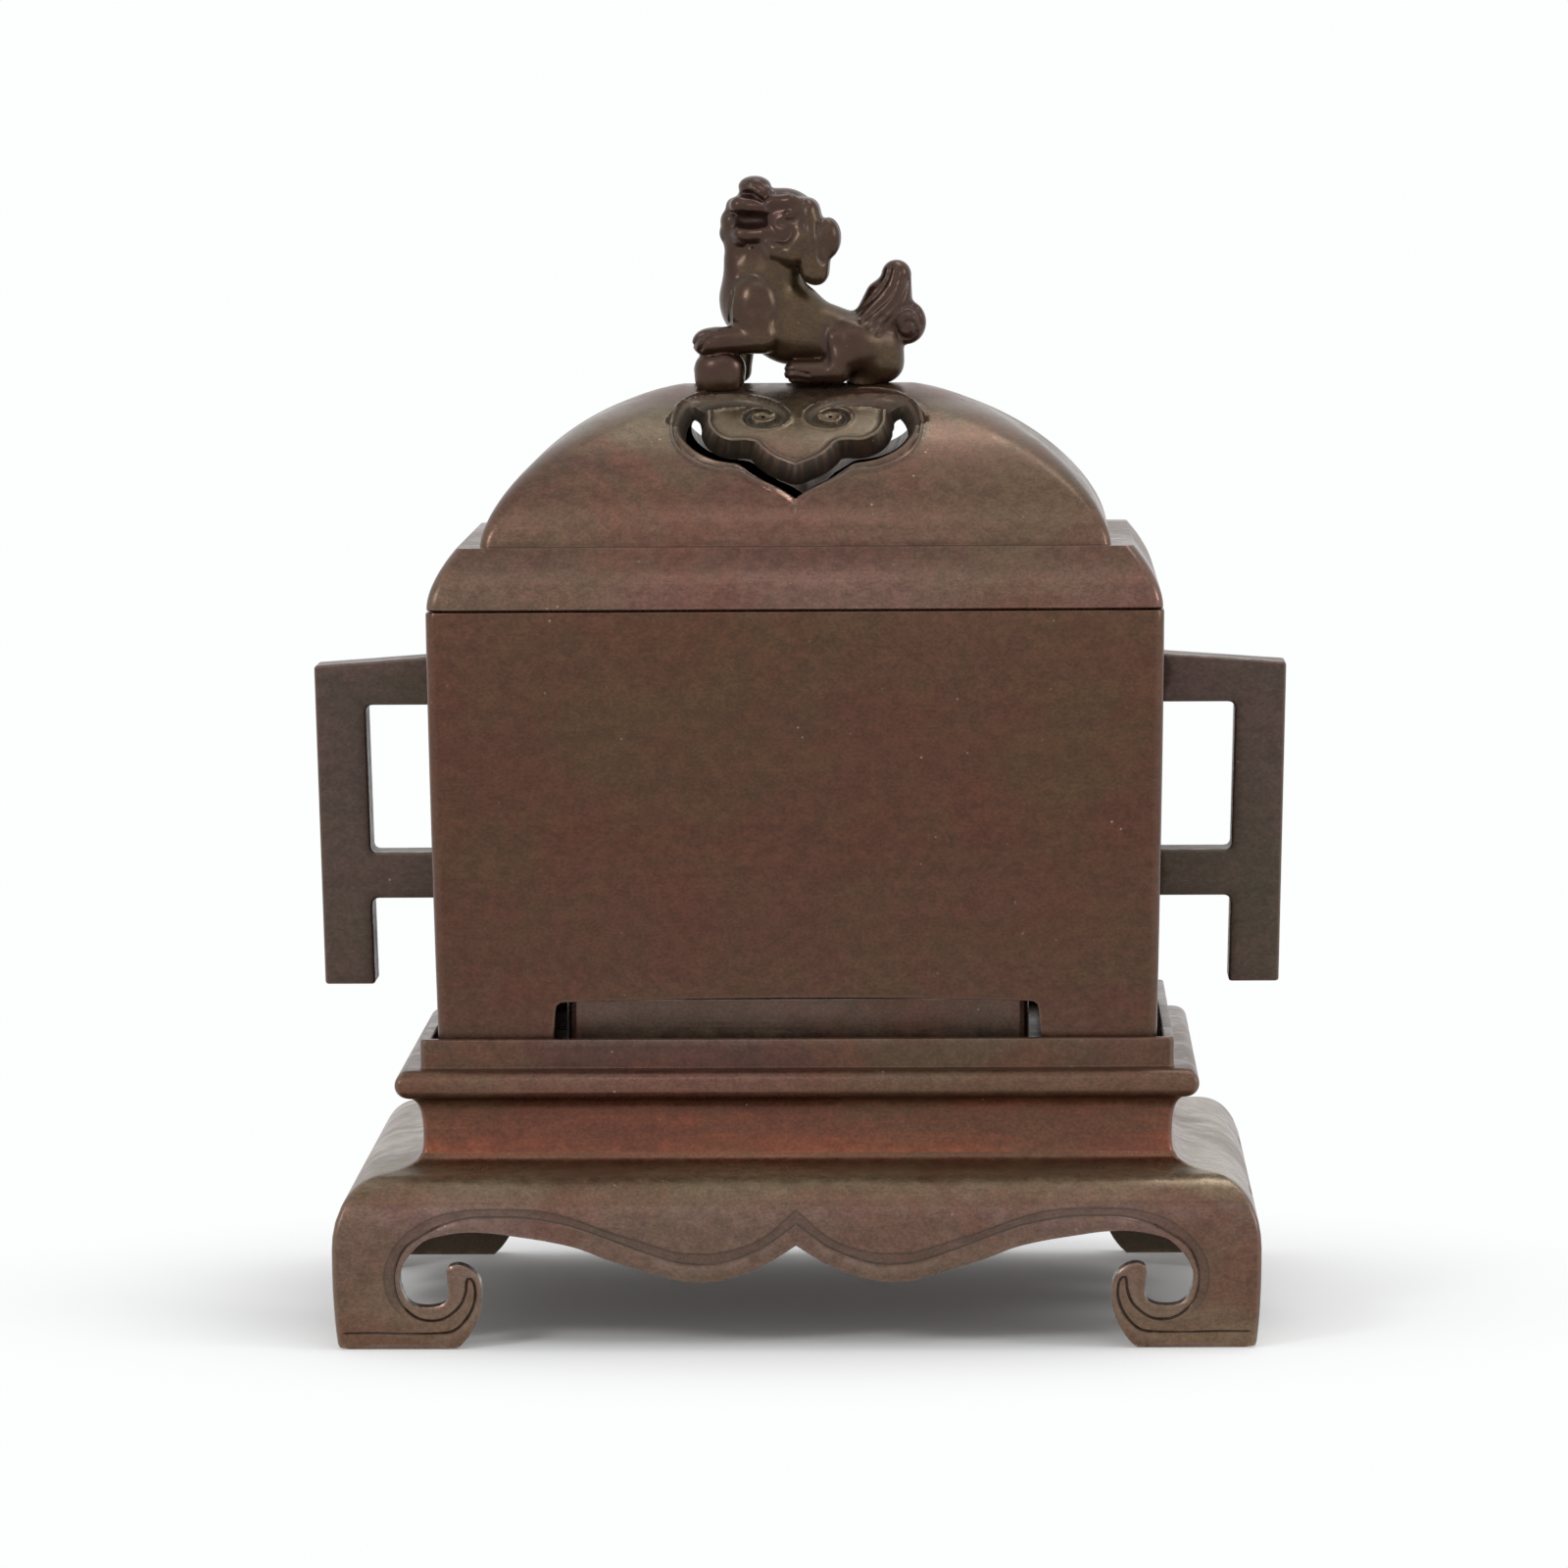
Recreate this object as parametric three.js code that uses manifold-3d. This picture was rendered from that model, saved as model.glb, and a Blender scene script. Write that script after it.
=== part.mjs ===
// A covered bronze censer on its stand, with a lion for a finial.
// Millimetres, +Z up. The front faces -Y, and the origin is on the floor under the middle of the stand.
import * as THREE from 'three';
import { mergeVertices } from 'three/addons/utils/BufferGeometryUtils.js';
import Module from 'manifold-3d';

const wasm = await Module();
wasm.setup();

// Every level is a rectangle whose half depth is its half width less this.
const MITRE = 24.6;

// Clearances between pieces.
const FIXED_GAP = 0.3;
const LIFT_GAP = 0.3;
const RIM_GAP = 1.35;
const LINER_GAP = 0.5;
const COLLAR_GAP = 0.6;

// Stand, from the floor up.
const FOOT_HALF = 97.8;
const APRON_HALF = 98.95;
const APRON_HEIGHT = 29.8;
const SHOULDER_RISE = 6.5;
const SHOULDER_INSET = 8.4;
const COVE_RISE = 15.7;
const NECK_INSET = 0.45;
const TORUS_RADIUS = 3.1;
const TORUS_REACH = 5.3;
const RIM_RISE = 6.3;
const RIM_WALL = 2.35;
const RECESS_DEPTH = 5.5;
const STAND_WALL = 5.2;
const NECK_WALL = 4.5;
const LEDGE_WIDTH = 8.4;
const LEDGE_THICKNESS = 3;
const STAND_CORNER = 1.2;

// Apron outline and scrolled feet.
const CUSP_HEIGHT = 21.9;
const LOBE_HEIGHT = 14.4;
const LOBE_SHARE = 0.28;
const ARCH_HEIGHT = 25.2;
const ARCH_FROM_CORNER = 29.5;
const EYE_FROM_CORNER = 22;
const EYE_HEIGHT = 17.1;
const EYE_RADIUS = 7.1;
const HOOK_FROM_CORNER = 28.1;
const HOOK_HEIGHT = 15.7;
const HOOK_RADIUS = 3.3;
const FOOT_WIDTH = 26.3;

// Seat plate in the top of the stand.
const PLATE_THICKNESS = 1.6;
const SEAT_HALF = 49.8;
const SEAT_SETBACK = 9.6;
const SEAT_RISE = 12.5;
const SEAT_CORNER = 2;

// Box of the censer.
const VESSEL_HALF = 79;
const VESSEL_TAPER = 1.9;
const VESSEL_HEIGHT = 96.8;
const VESSEL_CORNER = 2.2;
const VESSEL_TAPER_POWER = 1.3;
const VESSEL_WALL = 5.5;
const MOUTH_WALL = 4;
const SKIRT_WALL = 5.1;
const SKIRT_HEIGHT = 15.7;
const MOUTH_DEPTH = 10.1;
const CUT_SIDE = 24.3;
const CUT_LEAN = 1;
const CUT_HEIGHT = 12.7;
const CUT_ARCH = 0.9;
const CUT_FILLET = 1.5;
const FLOOR_THICKNESS = 2.5;

// Handles, seen from the front.
const HANDLE_REACH = 27.6;
const HANDLE_LEAN = 1.75;
const HANDLE_DEPTH = 12;
const HANDLE_BELOW_MOUTH = 12.9;
const HANDLE_TOP_DROP = 1.9;
const HANDLE_BOTTOM = 11.7;
const TOP_BAR = 10.6;
const LOWER_BAR = 10;
const LOWER_BAR_TOP = 40.7;
const UPRIGHT = 11;
const HANDLE_FILLET = 1.6;

// Screws through the wall of the box.
const SCREW_RADIUS = 1.7;
const SCREW_BITE = 9;
const HEAD_RADIUS = 3.3;
const HEAD_HEIGHT = 2;
const WASHER_RADIUS = 4.2;
const WASHER_THICKNESS = 0.8;

// Ash liner.
const LINER_DEPTH = 38;
const LINER_SHEET = 1.2;
const LINER_FLANGE = 1.5;
const LINER_CORNER = 5;

// Lid.
const LID_SETBACK = 0.2;
const BAND_RISE = 13.1;
const BAND_INSET = 6.2;
const DOME_INSET = 4.7;
const DOME_RISE = 33.3;
const DOME_POWER = 1.58;
const DOME_ROUND = 1.04;
const DOME_LEVELS = 11;
const LID_WALL = 4.5;
const CREASE_RADIUS = 2.4;
const CREASE_FADE = 0.3;
const COLLAR_WALL = 2;
const COLLAR_DROP = 6;
const COLLAR_SEAT = 6.6;

// Cloud head opening, in a plane that leans back with the dome.
const CLOUD_LEAN = Math.PI / 4;
const CLOUD_SETBACK = 32.9;
const CLOUD_RISE = 17;
const CLOUD_WIDTH = 25.4;
const CLOUD_TIP = 9;
const CLOUD_TOP = 17;
const PLATE_WIDTH = 20.4;
const PLATE_TIP = 0.6;
const LIP_WIDTH = 2;
const LIP_RISE = 0.6;

// Lion, with its ball and its screws.
const LION_HEIGHT = 45.2;
const BALL_AT = [-17.3, -5.2, 3.2];
const BALL_RADIUS = 4.6;
const RUMP_AT = [14, 0, 7.5];
const FINIAL_SCREW_RADIUS = 1.3;
const FINIAL_SCREW_BITE = 3.4;
const FINIAL_HEAD_RADIUS = 2.6;
const BOSS_RADIUS = 4.4;
const BOSS_DEPTH = 3.8;

// Fineness of the curves.
const CORNER_STEPS = 3;
const CURVE_STEPS = 6;
const ROUND_SIDES = 20;
const FORM_SIDES = 12;
const FORM_ROWS = 7;
const CLOUD_STEPS = 4;

// Heights that follow from the sizes above.
const SHOULDER_Z = APRON_HEIGHT + SHOULDER_RISE;
const TORUS_Z = SHOULDER_Z + COVE_RISE + TORUS_RADIUS;
const RIM_BASE_Z = TORUS_Z + TORUS_RADIUS;
const RIM_Z = RIM_BASE_Z + RIM_RISE;
const DECK_Z = RIM_Z - RECESS_DEPTH;
const LEDGE_Z = DECK_Z - PLATE_THICKNESS;
const VESSEL_Z = DECK_Z + LIFT_GAP;
const MOUTH_Z = VESSEL_Z + VESSEL_HEIGHT;
const FLOOR_Z = VESSEL_Z + SKIRT_HEIGHT;
const LINER_Z = MOUTH_Z - MOUTH_DEPTH;
const HANDLE_Z = MOUTH_Z - HANDLE_BELOW_MOUTH;
const LID_Z = MOUTH_Z + LIFT_GAP;
const BAND_Z = LID_Z + BAND_RISE;
const CROWN_Z = BAND_Z + DOME_RISE;
const BOSS_Z = CROWN_Z - LID_WALL - BOSS_DEPTH;

// Half widths that follow.
const VESSEL_FOOT_HALF = VESSEL_HALF - VESSEL_TAPER;
const RECESS_HALF = VESSEL_FOOT_HALF + RIM_GAP;
const RIM_HALF = RECESS_HALF + RIM_WALL;
const NECK_HALF = RIM_HALF - NECK_INSET;
const TORUS_HALF = RIM_HALF + TORUS_REACH;
const BOX_INNER_HALF = VESSEL_HALF - VESSEL_WALL;
const MOUTH_HALF = VESSEL_HALF - MOUTH_WALL;
const COLLAR_HALF = MOUTH_HALF - COLLAR_GAP;
const LID_INNER_HALF = COLLAR_HALF + FIXED_GAP;
const LID_HALF = VESSEL_HALF - LID_SETBACK;
const LEDGE_HALF = LID_HALF - BAND_INSET;
const DOME_HALF = LEDGE_HALF - DOME_INSET;
const BAR_LEVELS = [
  HANDLE_Z - TOP_BAR / 2 - HANDLE_TOP_DROP / 4,
  VESSEL_Z + LOWER_BAR_TOP - LOWER_BAR / 2,
];

// Solids: a closed mesh with its shared vertices merged becomes a solid, and back.
function toSolid(geometry) {
  const bare = geometry.clone();
  bare.deleteAttribute('normal');
  bare.deleteAttribute('uv');
  const merged = mergeVertices(bare, 1e-5);
  const corners = merged.index.array;
  const kept = [];
  for (let i = 0; i < corners.length; i += 3) {
    const [a, b, c] = [corners[i], corners[i + 1], corners[i + 2]];
    if (a !== b && b !== c && c !== a) kept.push(a, b, c);
  }
  return new wasm.Manifold(new wasm.Mesh({
    numProp: 3,
    vertProperties: merged.attributes.position.array,
    triVerts: new Uint32Array(kept),
  }));
}

function toGeometry(solid) {
  const mesh = solid.getMesh();
  const geometry = new THREE.BufferGeometry();
  geometry.setAttribute('position', new THREE.BufferAttribute(mesh.vertProperties, 3));
  geometry.setIndex(new THREE.BufferAttribute(mesh.triVerts, 1));
  geometry.computeVertexNormals();
  return geometry;
}

function join(solids) {
  return solids.reduce((whole, solid) => whole.add(solid));
}

// One level of a stack: a rectangle with round corners.
function level(half, z, corner, spread = MITRE) {
  const depth = half - spread;
  return { half, depth, z, corner: Math.min(corner, depth * 0.9, half * 0.9) };
}

// A closed solid through a stack of levels, lowest first.
function stack(levels) {
  const ringSize = 4 * (CORNER_STEPS + 1);
  const positions = [];
  for (const { half, depth, z, corner } of levels) {
    for (let quarter = 0; quarter < 4; quarter += 1) {
      const signX = quarter === 0 || quarter === 3 ? 1 : -1;
      const signY = quarter < 2 ? 1 : -1;
      for (let step = 0; step <= CORNER_STEPS; step += 1) {
        const angle = (quarter + step / CORNER_STEPS) * Math.PI / 2;
        positions.push(signX * (half - corner) + corner * Math.cos(angle));
        positions.push(signY * (depth - corner) + corner * Math.sin(angle));
        positions.push(z);
      }
    }
  }
  const indices = [];
  for (let row = 0; row + 1 < levels.length; row += 1) {
    for (let column = 0; column < ringSize; column += 1) {
      const next = (column + 1) % ringSize;
      const low = row * ringSize;
      const high = low + ringSize;
      indices.push(low + column, low + next, high + next);
      indices.push(low + column, high + next, high + column);
    }
  }
  const last = (levels.length - 1) * ringSize;
  for (let column = 1; column + 1 < ringSize; column += 1) {
    indices.push(0, column + 1, column);
    indices.push(last, last + column, last + column + 1);
  }
  const geometry = new THREE.BufferGeometry();
  geometry.setAttribute('position', new THREE.Float32BufferAttribute(positions, 3));
  geometry.setIndex(indices);
  return toSolid(geometry);
}

// A stack that follows a profile drawn as half width against height.
function moulding(profile, corner, steps = CURVE_STEPS) {
  return stack(profile.getPoints(steps).map((point) => level(point.x, point.y, corner)));
}

// A straight block with round corners.
function block(half, bottom, top, corner, spread = MITRE) {
  return stack([level(half, bottom, corner, spread), level(half, top, corner, spread)]);
}

// A shape drawn in X and Z, pushed through the object along Y.
function throughY(shape, width) {
  const geometry = new THREE.ExtrudeGeometry(shape, { depth: width, bevelEnabled: false, curveSegments: CURVE_STEPS });
  return toSolid(geometry.rotateX(Math.PI / 2).translate(0, width / 2, 0));
}

// A shape drawn in Y and Z, pushed through the object along X.
function throughX(shape, width) {
  const geometry = new THREE.ExtrudeGeometry(shape, { depth: width, bevelEnabled: false, curveSegments: CURVE_STEPS });
  return toSolid(geometry.rotateX(Math.PI / 2).rotateZ(Math.PI / 2).translate(-width / 2, 0, 0));
}

function rod(radius, start, end, sides = ROUND_SIDES) {
  const from = new THREE.Vector3(...start);
  const along = new THREE.Vector3(...end).sub(from);
  const geometry = new THREE.CylinderGeometry(radius, radius, along.length(), sides);
  geometry.translate(0, along.length() / 2, 0);
  const turn = new THREE.Quaternion().setFromUnitVectors(new THREE.Vector3(0, 1, 0), along.normalize());
  return toSolid(geometry.applyQuaternion(turn).translate(from.x, from.y, from.z));
}

// The outline under the apron: cusp, lobe, arch, eye and hooked scroll, for a face of the given half length.
function apronOpening(halfLength) {
  const archX = halfLength - ARCH_FROM_CORNER;
  const lobeX = archX * LOBE_SHARE;
  const eyeX = halfLength - EYE_FROM_CORNER;
  const hookX = halfLength - HOOK_FROM_CORNER;
  const footX = halfLength - FOOT_WIDTH;
  const below = -1;
  const side = (sign) => {
    const path = new THREE.Path();
    path.moveTo(0, CUSP_HEIGHT);
    path.bezierCurveTo(lobeX * 0.32, CUSP_HEIGHT - 3, lobeX * 0.66, LOBE_HEIGHT, lobeX, LOBE_HEIGHT);
    path.bezierCurveTo(
      lobeX + (archX - lobeX) * 0.2, LOBE_HEIGHT,
      lobeX + (archX - lobeX) * 0.52, ARCH_HEIGHT,
      archX, ARCH_HEIGHT,
    );
    path.quadraticCurveTo((archX + eyeX) / 2, ARCH_HEIGHT, eyeX, EYE_HEIGHT + EYE_RADIUS);
    path.absarc(eyeX, EYE_HEIGHT, EYE_RADIUS, Math.PI / 2, -Math.PI / 2, true);
    path.quadraticCurveTo(hookX + HOOK_RADIUS, EYE_HEIGHT - EYE_RADIUS, hookX + HOOK_RADIUS, HOOK_HEIGHT);
    path.absarc(hookX, HOOK_HEIGHT, HOOK_RADIUS, 0, Math.PI, false);
    path.bezierCurveTo(
      hookX - HOOK_RADIUS * 1.6, HOOK_HEIGHT * 0.55,
      hookX - HOOK_RADIUS * 0.9, HOOK_HEIGHT * 0.2,
      footX, 0,
    );
    path.lineTo(footX, below);
    return path.getPoints(CURVE_STEPS).map((point) => new THREE.Vector2(sign * point.x, point.y));
  };
  return new THREE.Shape([...side(1), ...side(-1).reverse().slice(0, -1)]);
}

function standProfile() {
  const path = new THREE.Path();
  path.moveTo(FOOT_HALF, 0);
  path.bezierCurveTo(APRON_HALF - 0.4, APRON_HEIGHT * 0.2, APRON_HALF, APRON_HEIGHT * 0.4, APRON_HALF, APRON_HEIGHT * 0.72);
  path.quadraticCurveTo(APRON_HALF, APRON_HEIGHT * 0.88, APRON_HALF - 1.6, APRON_HEIGHT);
  path.quadraticCurveTo(APRON_HALF - 4, SHOULDER_Z - 1.2, APRON_HALF - SHOULDER_INSET, SHOULDER_Z);
  path.bezierCurveTo(
    NECK_HALF + 4.6, SHOULDER_Z + 0.6,
    NECK_HALF + 0.4, SHOULDER_Z + 2.6,
    NECK_HALF, SHOULDER_Z + COVE_RISE / 2,
  );
  path.bezierCurveTo(
    NECK_HALF, SHOULDER_Z + COVE_RISE * 0.8,
    NECK_HALF + 0.9, SHOULDER_Z + COVE_RISE - 0.6,
    TORUS_HALF - TORUS_RADIUS, TORUS_Z - TORUS_RADIUS,
  );
  path.absarc(TORUS_HALF - TORUS_RADIUS, TORUS_Z, TORUS_RADIUS, -Math.PI / 2, Math.PI / 2, false);
  path.lineTo(RIM_HALF, RIM_BASE_Z);
  path.lineTo(RIM_HALF, RIM_Z - 0.4);
  path.lineTo(RIM_HALF - 0.4, RIM_Z);
  return path;
}

function standFrame() {
  const outside = moulding(standProfile(), STAND_CORNER);
  const under = stack([
    level(APRON_HALF - STAND_WALL, -1, 1),
    level(APRON_HALF - STAND_WALL, APRON_HEIGHT * 0.8, 1),
    level(APRON_HALF - SHOULDER_INSET - NECK_WALL, SHOULDER_Z - NECK_WALL, 1),
    level(NECK_HALF - NECK_WALL, SHOULDER_Z + 1, 1),
    level(NECK_HALF - NECK_WALL, LEDGE_Z - LEDGE_THICKNESS, 1),
  ]);
  const hatch = block(RECESS_HALF - LEDGE_WIDTH, LEDGE_Z - LEDGE_THICKNESS - 1, LEDGE_Z + 1, SEAT_CORNER);
  const recess = block(RECESS_HALF, LEDGE_Z, RIM_Z + 1, 1.6);
  const front = throughY(apronOpening(APRON_HALF), APRON_HALF * 2);
  const sides = throughX(apronOpening(APRON_HALF - MITRE), APRON_HALF * 2 + 4);
  return outside.subtract(join([under, hatch, recess])).subtract(front).subtract(sides);
}

// The raised panel stands back from the skirt of the box by the same amount on every side of its depth.
function seatPlate() {
  const flange = block(RECESS_HALF - FIXED_GAP, LEDGE_Z, DECK_Z, 1.4);
  const seatDepth = VESSEL_FOOT_HALF - MITRE - SEAT_SETBACK;
  const spread = SEAT_HALF - seatDepth;
  const raised = block(SEAT_HALF, LEDGE_Z, DECK_Z + SEAT_RISE, SEAT_CORNER, spread);
  const hollowHalf = SEAT_HALF - PLATE_THICKNESS;
  const hollow = block(hollowHalf, LEDGE_Z - 1, DECK_Z + SEAT_RISE - PLATE_THICKNESS, SEAT_CORNER, spread);
  return flange.add(raised).subtract(hollow);
}

// Half width of the box at a height, wider towards the mouth.
function vesselHalf(z) {
  const share = THREE.MathUtils.clamp((MOUTH_Z - z) / VESSEL_HEIGHT, 0, 1);
  return VESSEL_HALF - (VESSEL_HALF - VESSEL_FOOT_HALF) * share ** VESSEL_TAPER_POWER;
}

function skirtOpening(halfLength) {
  const foot = halfLength - CUT_SIDE;
  const top = VESSEL_Z + CUT_HEIGHT;
  const shape = new THREE.Shape();
  shape.moveTo(-foot, VESSEL_Z - 1);
  shape.lineTo(foot, VESSEL_Z - 1);
  shape.lineTo(foot - CUT_LEAN, top - CUT_FILLET);
  shape.quadraticCurveTo(foot - CUT_LEAN, top, foot - CUT_LEAN - CUT_FILLET, top);
  shape.quadraticCurveTo(0, top + CUT_ARCH * 2, -foot + CUT_LEAN + CUT_FILLET, top);
  shape.quadraticCurveTo(-foot + CUT_LEAN, top, -foot + CUT_LEAN, top - CUT_FILLET);
  return shape;
}

function vesselBody() {
  const levels = [];
  const count = 7;
  for (let i = 0; i <= count; i += 1) {
    const z = VESSEL_Z + VESSEL_HEIGHT * i / count;
    levels.push(level(vesselHalf(z), z, VESSEL_CORNER));
  }
  const inside = block(BOX_INNER_HALF, FLOOR_Z - 1, LINER_Z + 1, 2);
  const mouth = block(MOUTH_HALF, LINER_Z, MOUTH_Z + 1, 2);
  const skirt = block(VESSEL_FOOT_HALF - SKIRT_WALL, VESSEL_Z - 1, FLOOR_Z, 2);
  const front = throughY(skirtOpening(VESSEL_FOOT_HALF), VESSEL_HALF * 2);
  const sides = throughX(skirtOpening(VESSEL_FOOT_HALF - MITRE), VESSEL_HALF * 2 + 4);
  const openings = [inside, mouth, skirt, front, sides];
  for (const z of BAR_LEVELS) {
    const hole = SCREW_RADIUS + FIXED_GAP;
    openings.push(rod(hole, [-VESSEL_HALF - 2, 0, z], [VESSEL_HALF + 2, 0, z]));
  }
  return stack(levels).subtract(join(openings));
}

function vesselFloor() {
  return block(BOX_INNER_HALF - FIXED_GAP, FLOOR_Z, FLOOR_Z + FLOOR_THICKNESS, 1.8);
}

// The handle on the +X side. Its roots follow the side of the box.
function handle() {
  const rise = (height) => VESSEL_Z + height;
  const root = (z) => vesselHalf(z) + FIXED_GAP;
  const outer = VESSEL_HALF + HANDLE_REACH;
  const top = HANDLE_Z;
  const foot = rise(HANDLE_BOTTOM);
  const window = top - TOP_BAR;
  const barTop = rise(LOWER_BAR_TOP);
  const barFoot = barTop - LOWER_BAR;
  const outerAt = (z) => outer - HANDLE_LEAN * (top - z) / (top - foot);
  const inner = (z) => outerAt(z) - UPRIGHT;
  const edge = 0.5;
  const f = HANDLE_FILLET;
  const shape = new THREE.Shape();
  shape.moveTo(root(top), top);
  shape.lineTo(outer - edge, top - HANDLE_TOP_DROP);
  shape.quadraticCurveTo(outer, top - HANDLE_TOP_DROP, outer, top - HANDLE_TOP_DROP - edge);
  shape.lineTo(outerAt(foot), foot + edge);
  shape.quadraticCurveTo(outerAt(foot), foot, outerAt(foot) - edge, foot);
  shape.lineTo(inner(foot) + edge, foot);
  shape.quadraticCurveTo(inner(foot), foot, inner(foot), foot + edge);
  shape.lineTo(inner(barFoot), barFoot - f);
  shape.quadraticCurveTo(inner(barFoot), barFoot, inner(barFoot) - f, barFoot);
  shape.lineTo(root(barFoot), barFoot);
  shape.lineTo(root(barTop), barTop);
  shape.lineTo(inner(barTop) - f, barTop);
  shape.quadraticCurveTo(inner(barTop), barTop, inner(barTop), barTop + f);
  shape.lineTo(inner(window), window - f);
  shape.quadraticCurveTo(inner(window), window, inner(window) - f, window);
  shape.lineTo(root(window), window);
  const holes = BAR_LEVELS.map((z) => {
    const end = root(z) + SCREW_BITE - MOUTH_WALL + FIXED_GAP;
    return rod(SCREW_RADIUS + FIXED_GAP, [root(z) - 2, 0, z], [end, 0, z]);
  });
  return throughY(shape, HANDLE_DEPTH).subtract(join(holes));
}

// A screw comes from inside the box, through a washer and the wall, into a handle.
function handleScrew(sign, z) {
  const under = BOX_INNER_HALF - WASHER_THICKNESS;
  const tip = vesselHalf(z) + SCREW_BITE - MOUTH_WALL;
  const shank = rod(SCREW_RADIUS, [sign * (under - 0.5), 0, z], [sign * tip, 0, z]);
  return rod(HEAD_RADIUS, [sign * (under - HEAD_HEIGHT), 0, z], [sign * under, 0, z]).add(shank);
}

function handleWasher(sign, z) {
  const seat = BOX_INNER_HALF;
  const under = seat - WASHER_THICKNESS;
  const hole = rod(SCREW_RADIUS + FIXED_GAP, [sign * (under - 1), 0, z], [sign * (seat + 1), 0, z]);
  return rod(WASHER_RADIUS, [sign * under, 0, z], [sign * seat, 0, z]).subtract(hole);
}

function ashLiner() {
  const half = BOX_INNER_HALF - WASHER_THICKNESS - HEAD_HEIGHT - LINER_GAP;
  const flange = block(MOUTH_HALF - LINER_GAP, LINER_Z, LINER_Z + LINER_FLANGE, 1.6);
  const tray = block(half, LINER_Z - LINER_DEPTH, LINER_Z + LINER_FLANGE, LINER_CORNER);
  const inside = block(half - LINER_SHEET, LINER_Z - LINER_DEPTH + LINER_SHEET, LINER_Z + LINER_FLANGE + 1, LINER_CORNER);
  return flange.add(tray).subtract(inside);
}

// Levels of a dome: a superellipse in section, its creases rounder and rounder towards the crown.
function domeLevels(half, bottom, rise) {
  const reach = (half - MITRE) * DOME_ROUND;
  const levels = [];
  for (let i = 0; i <= DOME_LEVELS; i += 1) {
    const angle = (i / DOME_LEVELS) * Math.PI / 2;
    const inset = reach * (1 - Math.cos(angle) ** (2 / DOME_POWER));
    const kept = Math.max(half - inset, MITRE + 0.6);
    const z = bottom + rise * Math.sin(angle) ** (2 / DOME_POWER);
    levels.push(level(kept, z, CREASE_RADIUS + CREASE_FADE * inset));
  }
  return levels;
}

// Outside of the lid, grown by a margin for the lip and for the seat of the lion.
function lidOutside(margin = 0) {
  const band = new THREE.Path();
  band.moveTo(LID_HALF, LID_Z);
  band.bezierCurveTo(
    LID_HALF, LID_Z + BAND_RISE * 0.35,
    LEDGE_HALF + 3, BAND_Z - 3.5,
    LEDGE_HALF, BAND_Z,
  );
  const levels = band.getPoints(CURVE_STEPS).map((point) => level(point.x + margin, point.y, VESSEL_CORNER));
  const dome = domeLevels(DOME_HALF, BAND_Z, DOME_RISE);
  for (const ring of dome) {
    ring.half += margin;
    ring.depth += margin;
    ring.z += margin;
  }
  return stack([...levels, ...dome]);
}

function lidInside() {
  const bandTop = LID_Z + COLLAR_SEAT;
  const innerHalf = LID_INNER_HALF - COLLAR_WALL - FIXED_GAP;
  const ceiling = BAND_Z - LID_WALL * 0.7;
  return stack([
    level(LID_INNER_HALF, LID_Z - 1, 2),
    level(LID_INNER_HALF, bandTop, 2),
    level(innerHalf, bandTop, 2),
    level(innerHalf, ceiling - 1.6, 2),
    ...domeLevels(DOME_HALF - LID_WALL * 0.75, ceiling, DOME_RISE - LID_WALL * 0.3),
  ]);
}

// Half of the cloud head, from the top of one end down to the tip.
function cloudEdge(width, tip, top) {
  const path = new THREE.Path();
  path.moveTo(width * 0.86, top);
  path.quadraticCurveTo(width, top - 1.6, width, top * 0.66);
  path.quadraticCurveTo(width * 0.98, tip + (top - tip) * 0.42, width * 0.62, tip + (top - tip) * 0.36);
  path.quadraticCurveTo(width * 0.44, tip + (top - tip) * 0.36, width * 0.38, tip + (top - tip) * 0.25);
  path.quadraticCurveTo(width * 0.2, tip + (top - tip) * 0.16, 0, tip);
  return path.getPoints(CLOUD_STEPS);
}

function mirrored(points) {
  return points.slice(0, -1).reverse().map((point) => new THREE.Vector2(-point.x, point.y));
}

// A band between two edges, pushed through the dome along the lean of the cloud head, at the front and the back.
function cloudBands(outer, inner, inward, outward) {
  const outline = [...outer, ...mirrored(outer)];
  const back = [...inner, ...mirrored(inner)].reverse();
  const shape = new THREE.Shape([...outline, ...back]);
  const depth = inward + outward;
  const geometry = new THREE.ExtrudeGeometry(shape, { depth, bevelEnabled: false });
  geometry.translate(0, 0, -inward);
  const out = new THREE.Vector3(0, -Math.cos(CLOUD_LEAN), Math.sin(CLOUD_LEAN));
  const up = new THREE.Vector3(0, Math.sin(CLOUD_LEAN), Math.cos(CLOUD_LEAN));
  const place = new THREE.Matrix4().makeBasis(new THREE.Vector3(1, 0, 0), up, out);
  place.setPosition(0, -CLOUD_SETBACK, BAND_Z + CLOUD_RISE);
  geometry.applyMatrix4(place);
  return toSolid(geometry).add(toSolid(geometry.clone().rotateZ(Math.PI)));
}

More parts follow.
